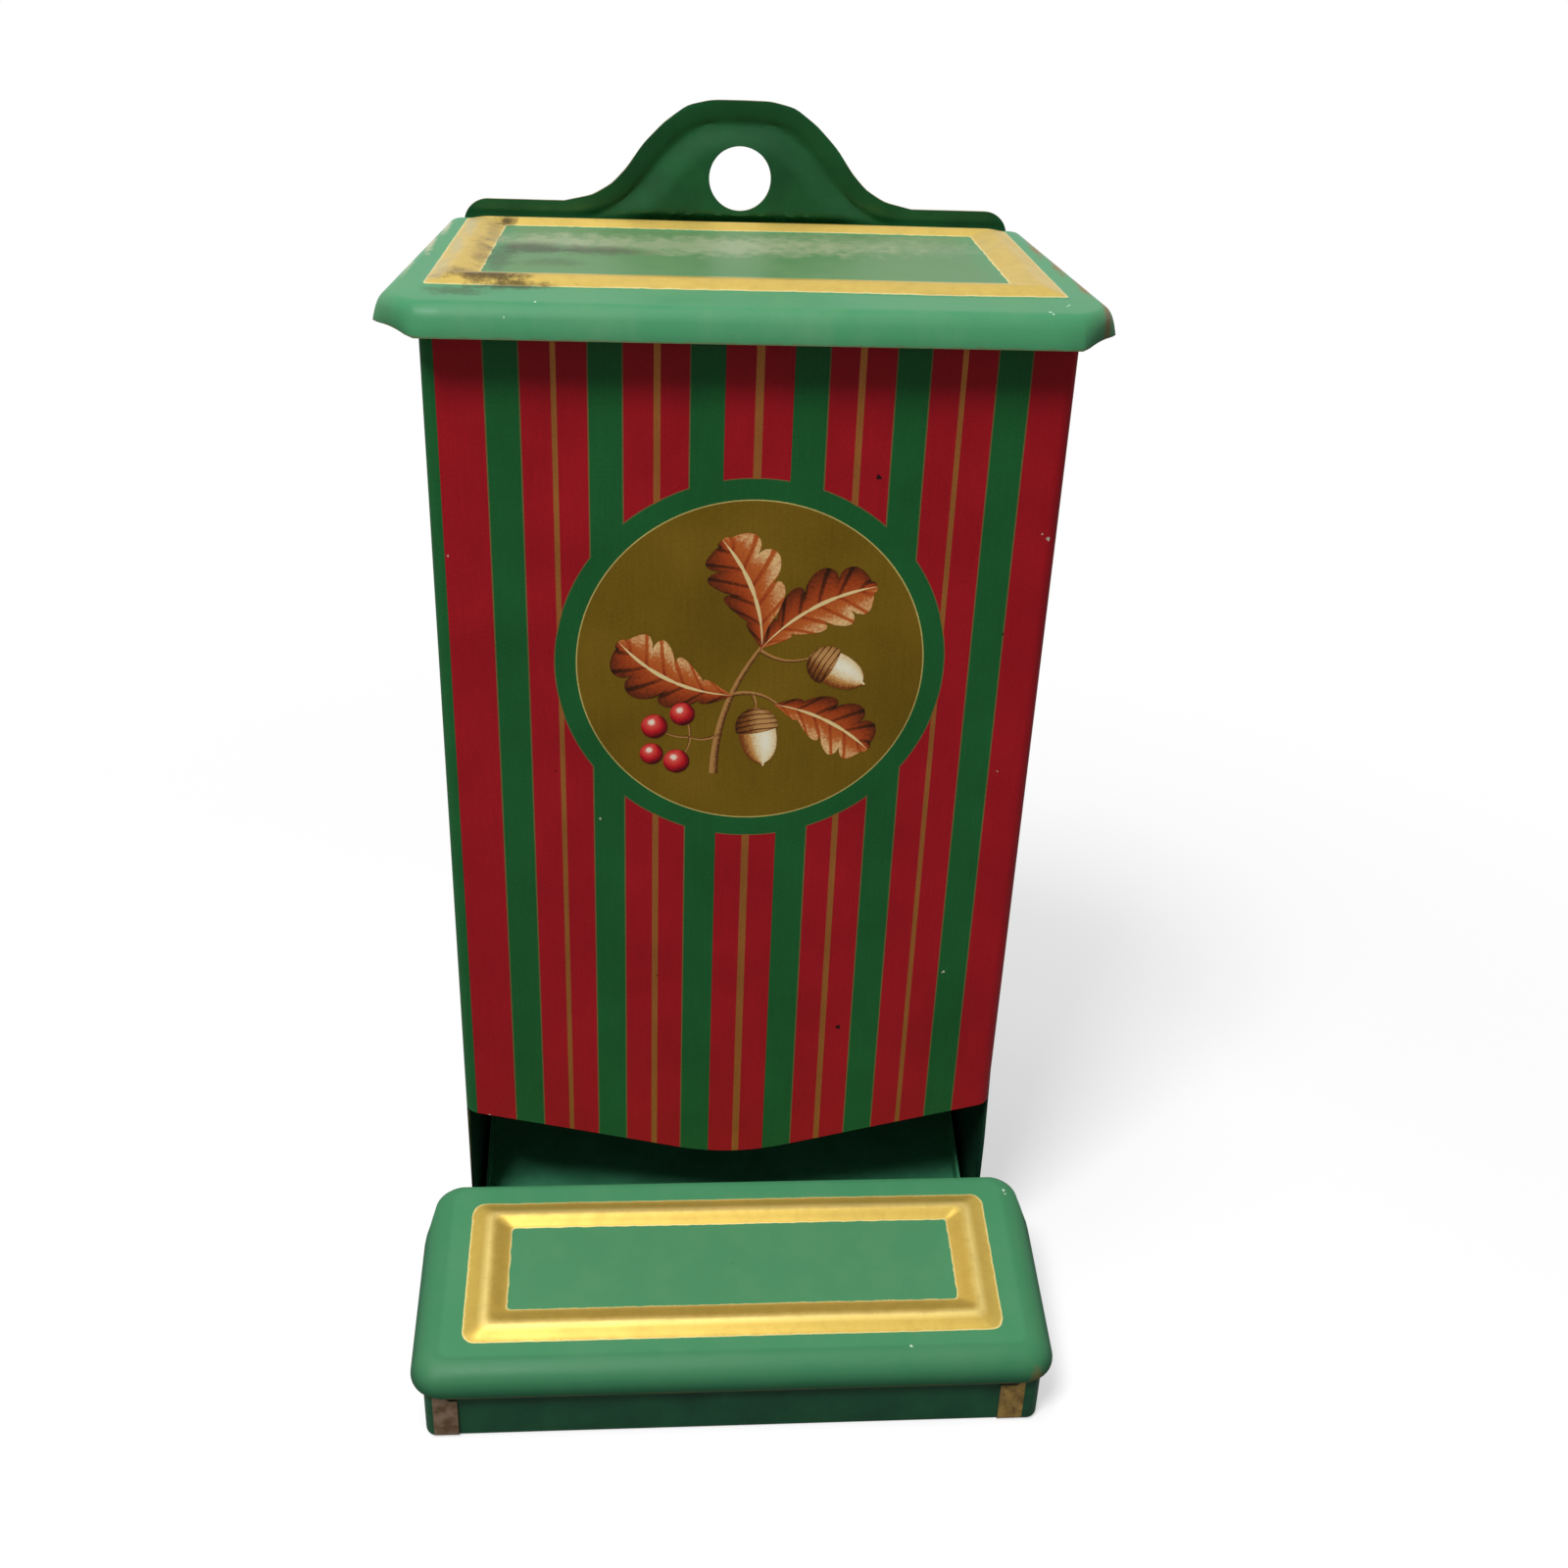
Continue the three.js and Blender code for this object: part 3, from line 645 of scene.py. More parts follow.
topLidFinish = {
    "wear": 0.35, "film": 0.36, "haze": 0.12, "gold": "#cbaf5a", "goldEdgeHighlight": "#e6d596", "metal": 0.6,
    "crest": 0.5, "crestHalf": 0.1, "goldCrestHighlight": "#cbaf5a",
    # dark and darkBelow: the strength of the painted shade low on the skirt, and the ringPlace where it
    # begins
    "dark": 0.25, "darkBelow": 0.3,
    # Dust marks at x from -38 to -46 are painted highlight: pale lines down the left rim's bend and the left
    # gold band's outer slope
    "dustAndHighlight": [(-6, -10, 26, 5, 0.45), (-26, -9, 10, 4, 0.35), (14, -8, 22, 5, 0.25), (-42.1, -2, 0.7, 6, 1.0),
             (-43.4, -10, 0.7, 7, 1.0), (-45.2, -20, 0.6, 7, 0.7), (-38.4, -4, 1.1, 5, 0.4),
             (-39.5, -14, 1.1, 7, 0.4), (-40.6, -24, 1.1, 6, 0.35)],
    "stain": [(-34.0, -27.8, 5.5, 2.2, 0.85), (-31.0, -30.6, 6.0, 1.6, 0.65), (-29.0, -13.0, 6, 3.0, 0.65),
              (-20.0, -13.5, 7, 2.4, 0.55), (-33.8, -1.0, 1.8, 1.6, 0.85), (-38.0, -33.0, 4.5, 2.0, 0.5),
              (-33.5, -18, 2.4, 6, 0.45), (-26.0, -19.5, 5.0, 2.0, 0.3)],
    # Rust marks at x of -35 and -36 are painted shade on the left gold band's inner slope; those down the
    # right edge are rust
    "rustAndShade": [(42.3, -6, 0.8, 6, 0.9), (43.9, -15, 0.8, 6, 0.9), (45.4, -24, 0.8, 6, 0.9),
             (47.0, -33, 0.8, 5, 0.9), (-37.5, -27.0, 5, 2.4, 0.35), (-35.0, -6, 1.2, 6, 0.35),
             (-36.0, -15, 1.2, 7, 0.4)],
    "chips": [(41.8, -33.6, 0.12), (41.4, -34.1, 0.05), (38.6, -36.6, 0.18), (39.0, -37.2, 0.1),
              (-27.6, -36.8, 0.1), (-31.5, -38.9, 0.08), (49.2, -36.6, 0.5)],
}
lowerLidFinish = {
    "wear": 0.16, "film": 0.06, "haze": 0.14, "gold": "#c0a34d", "goldEdgeHighlight": "#e8d48a", "metal": 0.38,
    "crest": 0.46, "crestHalf": 0.14, "goldCrestHighlight": "#dcc474",
    # dark and darkBelow: the strength of the painted shade low on the skirt, and the ringPlace where it
    # begins
    "dark": 1.0, "darkBelow": 1.2,
    "dustAndHighlight": [], "stain": [], "rustAndShade": [(46.5, -33.2, 1.4, 1.2, 0.5)],
    "chips": [(45.8, -0.6, 0.14), (45.9, -1.3, 0.08), (26.9, -29.0, 0.16), (-5.0, -12.0, 0.04)],
}

for lid, finish, title in ((topLid, topLidFinish, "top"), (lowerLid, lowerLidFinish, "lower")):
    enamel = makeLidMaterial(title + "LidEnamel", finish)
    body = lid["body"]
    addPiece(lid["name"], makeLidMesh(lid), body, [enamel, goldLacquer, cutEdge], [body],
             thickness=sheet, sharp=50)
    addPiece(lid["name"] + "Curl", makeCurlMesh(lid), body, [enamel], [body])
    addPiece(lid["name"] + "Wire", makeWireMesh(lid), body, [tinnedWire], [body + "_wire"])
print("lids made")


def wallTop(lid, y):
    # Height of a wall's upper edge at y: close under the lid, down round the wire, lower behind it
    ear, behind, under = 1.6, -2.9, lid["under"]
    angle = np.radians(np.arange(90, -1, -10))
    flatFrom = lid["flatFrom"]
    local = np.concatenate([
        [(lid["outline"]["front"] - 10, under), (flatFrom - 2, under), (flatFrom, ear)],
        ear * np.stack([np.cos(angle), np.sin(angle)], -1), [(ear + 0.02, behind), (20, behind)]])
    line = fromLidPlane(lid, np.concatenate([np.zeros((len(local), 1)), local], 1))
    return np.interp(y, line[:, 1], line[:, 2])


# The body: one wrapped sheet, open at the top and cut to a shallow V below the front panel
bodyShell = {
    "frontHalf": 42.9, "backHalf": 42.4, "flange": 6.0, "frontFold": 1.85, "backFold": 1.25,
    "backGap": 0.8, "bottom": 0.8,
    "setback": 1.6,  # from the panel's face to the side walls' front edge
    "tipHeight": 25.0, "tipHalf": 9.0, "edgeSlope": 0.2396,
    "spread": 0.011, "lean": 0.45, "leanHeight": 135, "hollow": 0.12,
}


def leanAside(shell, x, z, share=1.0):
    # The folded tin has widened and leans to the right towards the top, by half a millimetre
    rise = np.clip((z - shell["tipHeight"]) / shell["leanHeight"], 0, 1) * share
    return x * (1 + shell["spread"] * rise) + shell["lean"] * rise


def panelHollow(shell, x, z):
    # The wide front panel is a little hollow and wavy, by up to a quarter of a millimetre
    inPanel = np.clip((shell["frontHalf"] - 4 - np.abs(x)) / 12, 0, 1)
    return inPanel * shell["hollow"] * (1 + gentleWaves(x, z, 60, 8))


def makeBodyMesh(shell):
    # A line in plan is carried up the wall. Columns follow the line, rows run from the lower edge
    # to the upper one, and the map holds the unrolled distance from the middle and the height.
    back, front = backFace - shell["backGap"], panelFace
    corners = [(-shell["backHalf"] + shell["flange"], back), (-shell["backHalf"], back),
               (-shell["frontHalf"], front), (shell["frontHalf"], front),
               (shell["backHalf"], back), (shell["backHalf"] - shell["flange"], back)]
    radii = (0, shell["backFold"], shell["frontFold"], shell["frontFold"], shell["backFold"], 0)
    line = openLine(corners, radii, perArc=12, spacing=1.5)
    # The side walls' front edge is a sharp step, so two columns lie close on either side of it
    edge = front + shell["setback"]
    for side in (-1, 1):
        at = np.nonzero((line[:-1, 1] - edge) * (line[1:, 1] - edge) < 0)[0]
        at = [index for index in at if line[index, 0] * side > 0][0]
        slope = (edge - line[at, 1]) / (line[at + 1, 1] - line[at, 1])
        x = line[at, 0] + slope * (line[at + 1, 0] - line[at, 0])
        rising = np.sign(line[at + 1, 1] - line[at, 1])
        line = np.insert(line, at + 1, [(x, edge - 0.01 * rising), (x, edge + 0.01 * rising)], 0)
    unrolled = lengthAlong(line)
    unrolled = unrolled - unrolled[-1] / 2
    aside = np.abs(line[:, 0])
    rounded = 0.5 * np.minimum(aside, shell["tipHalf"]) ** 2 / shell["tipHalf"]
    tip = shell["tipHeight"] + shell["edgeSlope"] * (rounded + np.maximum(aside - shell["tipHalf"], 0))
    low = np.where(line[:, 1] < edge, tip, shell["bottom"])
    high = wallTop(topLid, line[:, 1])
    rise = np.linspace(0, 1, 90)[:, None]
    z = low + (high - low) * rise
    x, y, unrolled = (np.broadcast_to(values, z.shape) for values in (*line.T, unrolled))
    y = np.where(y < edge, y + panelHollow(shell, x, z), y)
    x = leanAside(shell, x, z, (back - y) / (back - front))
    return meshFromGrid("bodyShell", np.stack([x, y, z], -1), uv=np.stack([unrolled, z], -1))


addPiece("bodyShell", makeBodyMesh(bodyShell), "tin",
         [printedFront, innerEnamel, cutEdge], ["body_shell"], thickness=sheet)
print("body made")

# The back plate: inside its rim, the tab is pressed forward to a flat that follows the arch
backPlate = {
    "half": 42.4, "waistHeight": 158.0, "shoulderFoot": 162.0, "shoulderHalf": 40.2, "shoulder": 169.7,
    "shoulderRadius": 3.6, "holeHeight": 173.5, "holeRadius": 4.5,
    "arch": [(25.5, 169.7), (21.4, 170.7), (18.6, 172.3), (16.4, 174.6), (14.2, 177.8), (11.1, 180.9),
             (7.8, 183.3), (4.2, 184.1), (0.0, 184.1)],
    "rimWidth": 2.9, "slopeWidth": 4.0, "rimRise": 0.85, "raised": 1.0, "foot": 167.3, "footFade": 1.1,
    "archEnd": 21.5, "archFade": 3.0,  # where the pressing starts to fade into the shoulders
    "setback": 0.5, "waves": 0.06,
    "outlineSoftness": 20, "pressSoftness": 75,  # reach of the running mean, in points of 400
    "block": 7.0,  # half the square of cells round the hole
    # Cells along each side of the block, rows up to the waist, and rows from there to the block
    "blockCells": 20, "rowsUnder": 29, "rowsBelow": 14,
}


def makeBackPlateMesh(plate):
    # Columns run up from the bottom edge to the top outline, which is a height for each column.
    # Round the hole, a block of cells gives way to rings between the block's border and the circle.
    arch = np.array(plate["arch"])[::-1]
    knots = lengthAlong(arch)
    fine = np.linspace(0, knots[-1], 400)
    straight = np.stack([np.interp(fine, knots, arch[:, axis]) for axis in (0, 1)], -1)

    def smoothArch(reach):
        # A running mean, over the half arch with its mirror image before it and its end carried on
        kernel = np.hanning(2 * reach + 1)
        before = straight[reach:0:-1] * (-1, 1)
        after = 2 * straight[-1] - straight[-2:-reach - 2:-1]
        padded = np.concatenate([before, straight, after])
        return np.stack([np.convolve(padded[:, axis], kernel / kernel.sum(), "valid") for axis in (0, 1)], -1)

    curve, soft = smoothArch(plate["outlineSoftness"]), smoothArch(plate["pressSoftness"])
    corner = plate["shoulderHalf"] - plate["shoulderRadius"]

    def topAt(x):
        aside = np.abs(x)
        over = np.clip((aside - corner) / plate["shoulderRadius"], 0, 1)
        level = plate["shoulder"] - plate["shoulderRadius"] * (1 - np.sqrt(1 - over ** 2))
        return np.where(aside < curve[-1, 0], np.interp(aside, curve[:, 0], curve[:, 1]), level)

    half, block, cells = plate["shoulderHalf"], plate["block"], plate["blockCells"]
    inner = np.linspace(-block, block, cells + 1)
    rounding = np.sin(np.radians(np.linspace(0, 90, 12)[1:]))
    outer = np.concatenate([np.linspace(block, corner, 44)[1:], corner + plate["shoulderRadius"] * rounding])
    columns = np.concatenate([-outer[::-1], inner, outer])
    low, centre = plate["waistHeight"], plate["holeHeight"]
    blockFoot, blockHead, head = centre - block - low, centre + block - low, topAt(np.zeros(1))[0] - low
    share = np.concatenate([
        np.linspace(0, blockFoot, plate["rowsBelow"])[:-1],
        np.linspace(blockFoot, blockHead, cells + 1)[:-1], np.linspace(blockHead, head, 10)]) / head
    upper = low + share[:, None] * (topAt(columns) - low)
    lower = np.broadcast_to(np.linspace(0, low, plate["rowsUnder"] + 1)[:-1, None],
                            (plate["rowsUnder"], len(columns)))
    z = np.concatenate([lower, upper])
    x = columns * np.interp(z, [low, plate["shoulderFoot"]], [plate["half"] / half, 1])

    def forward(x, z):
        # How far the plate stands forward, from the distance to a softened outline
        shoulder = np.linspace(soft[-1], (plate["shoulderHalf"], plate["shoulder"]), 30)
        outline = np.concatenate([soft, shoulder])
        steps = np.linspace(0, lengthAlong(outline)[-1], 300)
        dense = np.stack([np.interp(steps, lengthAlong(outline), outline[:, axis]) for axis in (0, 1)], -1)
        away = np.min(np.hypot(np.abs(x)[..., None] - dense[:, 0], z[..., None] - dense[:, 1]), -1)
        # From the edge inwards: a rim that leans back to a valley, then a slope up to the flat
        inArch = np.clip(1 - (np.abs(x) - plate["archEnd"]) / plate["archFade"], 0, 1)
        climb = np.clip((away - plate["rimWidth"]) / plate["slopeWidth"], 0, 1)
        climb = 0.35 * climb + 0.65 * smoothStep(climb)
        lean = np.clip(1 - away / plate["rimWidth"], 0, 1) ** 0.55 * (0.25 + 0.75 * inArch)
        above = smoothStep(np.clip((z - plate["foot"]) / plate["footFade"], 0, 1))
        return (plate["raised"] * climb * inArch + plate["rimRise"] * lean) * above

    def surface(x, z):
        waves = plate["waves"] * gentleWaves(x, z, 50, 3) * np.clip((z - 168) / 10, 0, 1)
        y = backFace - plate["setback"] - forward(x, z) + waves
        return np.stack([x, np.minimum(y, backFace - sheet - 0.02), z], -1)

    firstRow, firstColumn = plate["rowsUnder"] + plate["rowsBelow"] - 1, len(outer)
    lastRow, lastColumn = firstRow + cells, firstColumn + cells
    keep = np.ones((z.shape[0] - 1, z.shape[1] - 1), bool)
    keep[firstRow:lastRow, firstColumn:lastColumn] = False
    index = np.arange(z.size).reshape(z.shape)
    fieldMesh = meshFromGrid("plateField", surface(x, z), keep=keep)
    # The block's border, once round, and the circle's points in the same directions
    rowRange, columnRange = np.arange(firstRow, lastRow), np.arange(firstColumn, lastColumn)
    around = np.concatenate([
        index[firstRow, columnRange], index[rowRange, lastColumn],
        index[lastRow, columnRange[::-1] + 1], index[rowRange[::-1] + 1, firstColumn]])
    border = np.stack([x.ravel()[around], z.ravel()[around]], -1)
    angle = np.arctan2(border[:, 1] - centre, border[:, 0])
    circle = np.stack([plate["holeRadius"] * np.cos(angle), centre + plate["holeRadius"] * np.sin(angle)], -1)
    inward = np.linspace(0, 1, 8)[:, None, None]
    collar = border + (circle - border) * inward
    ringMesh = meshFromGrid("plateCollar", surface(collar[..., 0], collar[..., 1]), wrap=True)
    return joinMeshes("backPlate", [fieldMesh, ringMesh])


addPiece("backPlateTab", makeBackPlateMesh(backPlate), "tin",
         [darkEnamel, darkEnamel, cutEdge], ["back_plate"], thickness=sheet)
print("back plate made")

# The tray's sides: a strip in front, the side wall, a flange that closes the rear, and a lip along
# the body's wall
traySide = {
    "half": 47.3, "front": -35.7, "rear": -1.7, "fold": 1.8, "rearFold": 1.0, "tuck": 1.0,
    "stripTop": 8.4, "notchHalf": 44.0, "notchTop": 7.6, "flangeTop": 13.4, "flangeEnd": 43.5, "lip": 4.2,
    "stripDepth": 3.0,
    # Where each sheet ends in front, and where its lacquer is left bare
    -1: {"title": "left", "sheetEnd": 42.2, "bare": (-45.9, -42.2), "gold": "#947a64", "tarnish": "#6a5238"},
    1: {"title": "right", "sheetEnd": 40.9, "bare": (40.9, 44.7), "gold": "#ac8c4c", "tarnish": "#755a34"},
}


def makeTraySideMesh(settings, side):
    # A line in plan carried up to the lid, as the body's wall is. At the bottom it's tucked in by
    # a quarter circle: the line moves in by tuck * (1 - sin a) at the height tuck * (1 - cos a).
    front, rear = panelFace + settings["front"], panelFace + settings["rear"]
    half = settings["half"]
    corners = [(side * settings[side]["sheetEnd"], front), (side * half, front),
               (side * half, rear), (side * settings["flangeEnd"], rear),
               (side * settings["flangeEnd"], rear + settings["lip"])]
    radii = (0, settings["fold"], settings["rearFold"], 0.3, 0)
    line = openLine(corners, radii, perArc=10, spacing=1.2)[::side]
    along = unitVectors(np.gradient(line, axis=0))
    inward = np.stack([-along[:, 1], along[:, 0]], -1)
    aside, y = np.abs(line[:, 0]), line[:, 1]
    high = wallTop(lowerLid, y)
    strip = np.where(aside < settings["notchHalf"], settings["notchTop"], settings["stripTop"])
    inStrip = y < front + settings["stripDepth"]
    high = np.where(inStrip, np.minimum(high, strip), high)
    inFlange = (y > rear - 0.6) & (aside < half - 0.5)
    high = np.where(inFlange, np.minimum(high, settings["flangeTop"]), high)
    angle, tuck = np.radians(np.linspace(0, 90, 7)), settings["tuck"]
    rise = np.linspace(0, 1, 14)[1:, None]
    low = np.broadcast_to(tuck * (1 - np.cos(angle))[:, None], (7, len(y)))
    z = np.concatenate([low, tuck + rise * (high - tuck)])
    inset = np.concatenate([tuck * (1 - np.sin(angle)), np.zeros(13)])[:, None, None]
    # The flange loses its tuck towards the lip
    tucked = np.where(inStrip, 1, np.clip((aside - settings["flangeEnd"] - 0.4) / 1.5, 0, 1))[:, None]
    flat = line + inward * inset * tucked
    unrolled = np.broadcast_to(lengthAlong(line), z.shape)
    return meshFromGrid("traySide", np.concatenate([flat, z[..., None]], -1), uv=np.stack([unrolled, z], -1))


def makeTrayMaterial(settings, side):
    # Dark green enamel that leaves a strip of gold-lacquered metal bare beside the front corner
    strip = settings[side]
    material, node = startMaterial(strip["title"] + "TrayEnamel")
    place = node("TexCoord").outputs["Object"]
    x, y, _ = node("SeparateXYZ", [place]).outputs
    cloud = node("TexNoise", {"Vector": place, "Scale": 1 / (2.5 * mm), "Detail": 6, "Roughness": 0.65})
    start, end = strip["bare"]
    after = node("Math", (x, start * mm), operation="GREATER_THAN")
    before = node("Math", (x, end * mm), operation="LESS_THAN")
    inStrip = node("Math", (after, before), operation="MULTIPLY")
    inFront = node("Math", (y, (panelFace + settings["front"] + 1.0) * mm), operation="LESS_THAN")
    bare = node("Math", (inStrip, inFront), operation="MULTIPLY")
    tarnish = node("MapRange", (cloud, 0.42, 0.62))
    gold = node("Mix", {0: tarnish, 6: strip["gold"], 7: strip["tarnish"]}, data_type="RGBA")
    green = node("Mix", {0: tarnish, 6: trayGreens[0], 7: trayGreens[1]}, data_type="RGBA")
    shader = node("BsdfPrincipled", {
        "Base Color": node("Mix", {0: bare, 6: green, 7: gold}, data_type="RGBA"),
        "Metallic": node("Math", (bare, 0.4), operation="MULTIPLY"),
        "Roughness": 0.42, "Specular IOR Level": 0.2})
    node("OutputMaterial", [shader])
    return material


for side in (-1, 1):
    title = traySide[side]["title"]
    addPiece("traySide" + title.capitalize(), makeTraySideMesh(traySide, side), "tin",
             [makeTrayMaterial(traySide, side), innerEnamel, cutEdge], ["tray_side_" + title],
             thickness=sheet)

# The tray's floor: one T-shaped sheet, turned up in front behind the strips
trayFloor = {
    "front": -35.26, "fold": 0.55, "top": 10.7, "frontHalf": 46.3, "middleHalf": 43.0, "rearHalf": 41.6,
    "step": -2.5, "rearStep": 1.3,
}


def makeTrayFloorMesh(settings):
    # A line in side view, along the bottom, round the fold and up the front wall, carried across.
    # The sheet widens in two steps, so it's three grids, which share the rows where they meet.
    front, step = panelFace + settings["front"], panelFace + settings["step"]
    rearStep = panelFace + settings["rearStep"]
    ahead = openLine([(step, 0), (front, 0), (front, settings["top"])], (0, settings["fold"], 0), perArc=8)
    between = np.stack([np.linspace(rearStep, step, 4), np.zeros(4)], -1)
    behind = np.stack([np.linspace(backFace - 0.8, rearStep, 24), np.zeros(24)], -1)
    across = np.linspace(-settings["rearHalf"], settings["rearHalf"], 40)
    parts = []
    for line, half in ((behind, None), (between, "middleHalf"), (ahead, "frontHalf")):
        if half:
            across = np.concatenate([[-settings[half]], across, [settings[half]]])
        x = np.broadcast_to(across, (len(line), len(across)))
        y, z = (np.broadcast_to(line[:, axis, None], x.shape) for axis in (0, 1))
        parts.append(meshFromGrid("floorPart", np.stack([x, y, z], -1)))
    return joinMeshes("trayFloor", parts)


addPiece("trayFloor", makeTrayFloorMesh(trayFloor), "tin",
         [trayEnamel, innerEnamel, cutEdge], ["tray_floor"], thickness=sheet)
ramp = frame["nodes"]["chute_ramp"]
ramp.data.materials.clear()
ramp.data.materials.append(rampEnamel)
print("tray made")

# The medallion's print: a generic spray of oak leaves, acorns and berries. Every shape is a thin
# film of ink on the panel, as a blade: a middle line with a half width at each point along it.
spray = {
    "centre": (panelPrint["centre"], panelPrint["discHeight"]), "film": 0.02,
    # Start, end, sideways bow as a share of the length, half width, and how far off the panel
    "twigs": [((-5.0, -17.2), (1.5, 3.0), 0.08, 0.62, 0.03), ((1.3, 2.4), (8.6, 1.4), -0.14, 0.3, 0.03),
              ((-2.6, -4.5), (4.2, -6.2), 0.14, 0.34, 0.03), ((0.4, -4.6), (0.7, -7.2), 0.1, 0.26, 0.035),
              ((-4.4, -10.8), (-8.7, -11.2), 0.14, 0.26, 0.03),
              ((-8.5, -11.2), (-13.0, -9.8), 0.12, 0.18, 0.03),
              ((-8.5, -11.2), (-9.4, -8.0), -0.1, 0.18, 0.03),
              ((-8.5, -11.2), (-10.0, -14.8), 0.1, 0.18, 0.03)],
    "leaves": [((1.5, 2.6), (-4.4, 18.8), -0.09, 5.3, 0.04), ((-2.5, -4.6), (-18.6, 3.6), 0.11, 4.9, 0.045),
               ((1.4, 2.8), (17.2, 12.2), 0.09, 4.7, 0.05), ((3.6, -6.0), (17.4, -13.2), 0.08, 4.5, 0.045)],
    "acorns": [((8.3, 1.6), (16.4, -2.8), 2.6, 0.075), ((0.6, -6.6), (2.2, -16.0), 2.7, 0.08)],
    "berries": [((-13.6, -9.6), 1.9, 0.07), ((-9.6, -7.6), 1.8, 0.065), ((-10.4, -15.2), 1.9, 0.07),
                ((-14.0, -14.0), 1.7, 0.08)],
}
plainInk = {"lines": 0, "lineLean": 0, "lineDepth": 0, "rib": 0, "ribInk": "#e9cf93"}
sprayLook = {
    # A tone falls off from the highlight, by weight along and across, and is set into these inks
    "leafInk": {"highlight": (0.6, 0.85), "weight": (0.35, 0.42), "stipple": 0.45,
                "lines": 6, "lineLean": 1.6, "lineDepth": 0.26, "rib": 0.06,
                "stops": [(0, "#2c160b"), (0.24, "#5c2811"), (0.5, "#a5421a"), (0.82, "#c2642a"),
                          (1, "#ecc488")]},
    "nutInk": {"highlight": (0.45, -0.35), "weight": (0.55, 0.6), "stipple": 0.4,
               "stops": [(0, "#3a1d0d"), (0.3, "#8a4a1e"), (0.5, "#cf9450"), (0.7, "#f0dcae"),
                         (0.92, "#fbf3da")]},
    "cupInk": {"highlight": (0.6, -0.4), "weight": (0.4, 0.5), "stipple": 0.5,
               "lines": 5, "lineLean": 0.8, "lineDepth": 0.5,
               "stops": [(0, "#25120a"), (0.3, "#51290f"), (0.6, "#8b5324"), (0.85, "#c4935a")]},
    "berryInk": {"highlight": (0.64, -0.32), "weight": (1.5, 0.75), "stipple": 0.2,
                 "stops": [(0, "#4a0a10"), (0.2, "#8f1019"), (0.4, "#c81c26"), (0.75, "#e8564a"),
                           (0.88, "#fbe3cf")]},
    "twigInk": {"highlight": (0.5, -0.7), "weight": (0.1, 0.4), "stipple": 0.6,
                "stops": [(0, "#2c160b"), (0.45, "#5f3415"), (0.8, "#b5834a")]},
}


def makeInkMaterial(name, look):
    # Ink printed from a crayon drawing: tones stippled by a grain and set into a few flat inks, with
    # darker lines across for veins or scales and a pale line down the middle
    look = plainInk | look
    material, node = startMaterial(name)
    place = node("UVMap", uv_map="sheetMap")
    weight = (*look["weight"], 0)
    bright = [share * scale for share, scale in zip((*look["highlight"], 0), weight)]
    scaled = node("VectorMath", (place, weight), operation="MULTIPLY")
    away = node("VectorMath", (scaled, bright), operation="DISTANCE")
    crayon = node("TexNoise", {
        "Vector": node("TexCoord").outputs["Object"], "Scale": 1 / (0.45 * mm), "Detail": 3,
        "Roughness": 0.7})
    stipple = look["stipple"]
    grained = node("Math", (crayon, stipple, 1 - stipple / 2), operation="MULTIPLY_ADD")
    tone = node("Math", (grained, away), operation="SUBTRACT")
    along, across, _ = node("SeparateXYZ", [place]).outputs
    aside = node("Math", [across], operation="ABSOLUTE")
    leaned = node("Math", (aside, -look["lineLean"] * 2), operation="MULTIPLY")
    phase = node("Math", (along, look["lines"] * 2 * math.pi, leaned), operation="MULTIPLY_ADD")
    wave = node("Math", [phase], operation="SINE")
    lined = node("MapRange", (wave, 0.6, 1, 0, look["lineDepth"]))
    flatInks = node("ValToRGB", [node("Math", (tone, lined), operation="SUBTRACT")])
    setStops(flatInks, [(at, code, 1) for at, code in look["stops"]])
    inRib = node("Math", (aside, look["rib"]), operation="LESS_THAN")
    shader = node("BsdfPrincipled", {
        "Base Color": node("Mix", {0: inRib, 6: flatInks, 7: look["ribInk"]}, data_type="RGBA"),
        "Roughness": 0.42, "Specular IOR Level": panelPrint["haze"]})
    node("OutputMaterial", [shader])
    return material


def bowedLine(start, end, bow, count):
    # From start to end, pushed sideways by a parabola that peaks at bow times the length
    start, end = np.array(start, float), np.array(end, float)
    share = np.linspace(0, 1, count)[:, None]
    aside = np.array([start[1] - end[1], end[0] - start[0]])
    return start + (end - start) * share + aside * bow * 4 * share * (1 - share)


def addBlade(name, ink, line, halfWidth, lift, lean=0.0):
    # Columns cross the line by the half width w, and lean * |s| * w carries them towards its end,
    # with s from -1 to 1. The map holds the share of the length and s.
    along = unitVectors(np.gradient(line, axis=0))[:, None]
    s = np.linspace(-1, 1, 11)[None, :, None]
    aside = np.stack([along[..., 1], -along[..., 0]], -1)
    wide = halfWidth[:, None, None]
    flat = line[:, None] + aside * s * wide + along * lean * np.abs(s) * wide + np.array(spray["centre"])
    x, z = flat[..., 0], flat[..., 1]
    y = panelFace + panelHollow(bodyShell, x, z) - lift
    x = leanAside(bodyShell, x, z)
    share = np.broadcast_to(np.linspace(0, 1, len(line))[:, None], x.shape)
    uv = np.stack([share, np.broadcast_to(s[..., 0], x.shape)], -1)
    addPiece(name, meshFromGrid(name, np.stack([x, y, z], -1), uv=uv), "tin", [ink],
             thickness=spray["film"])


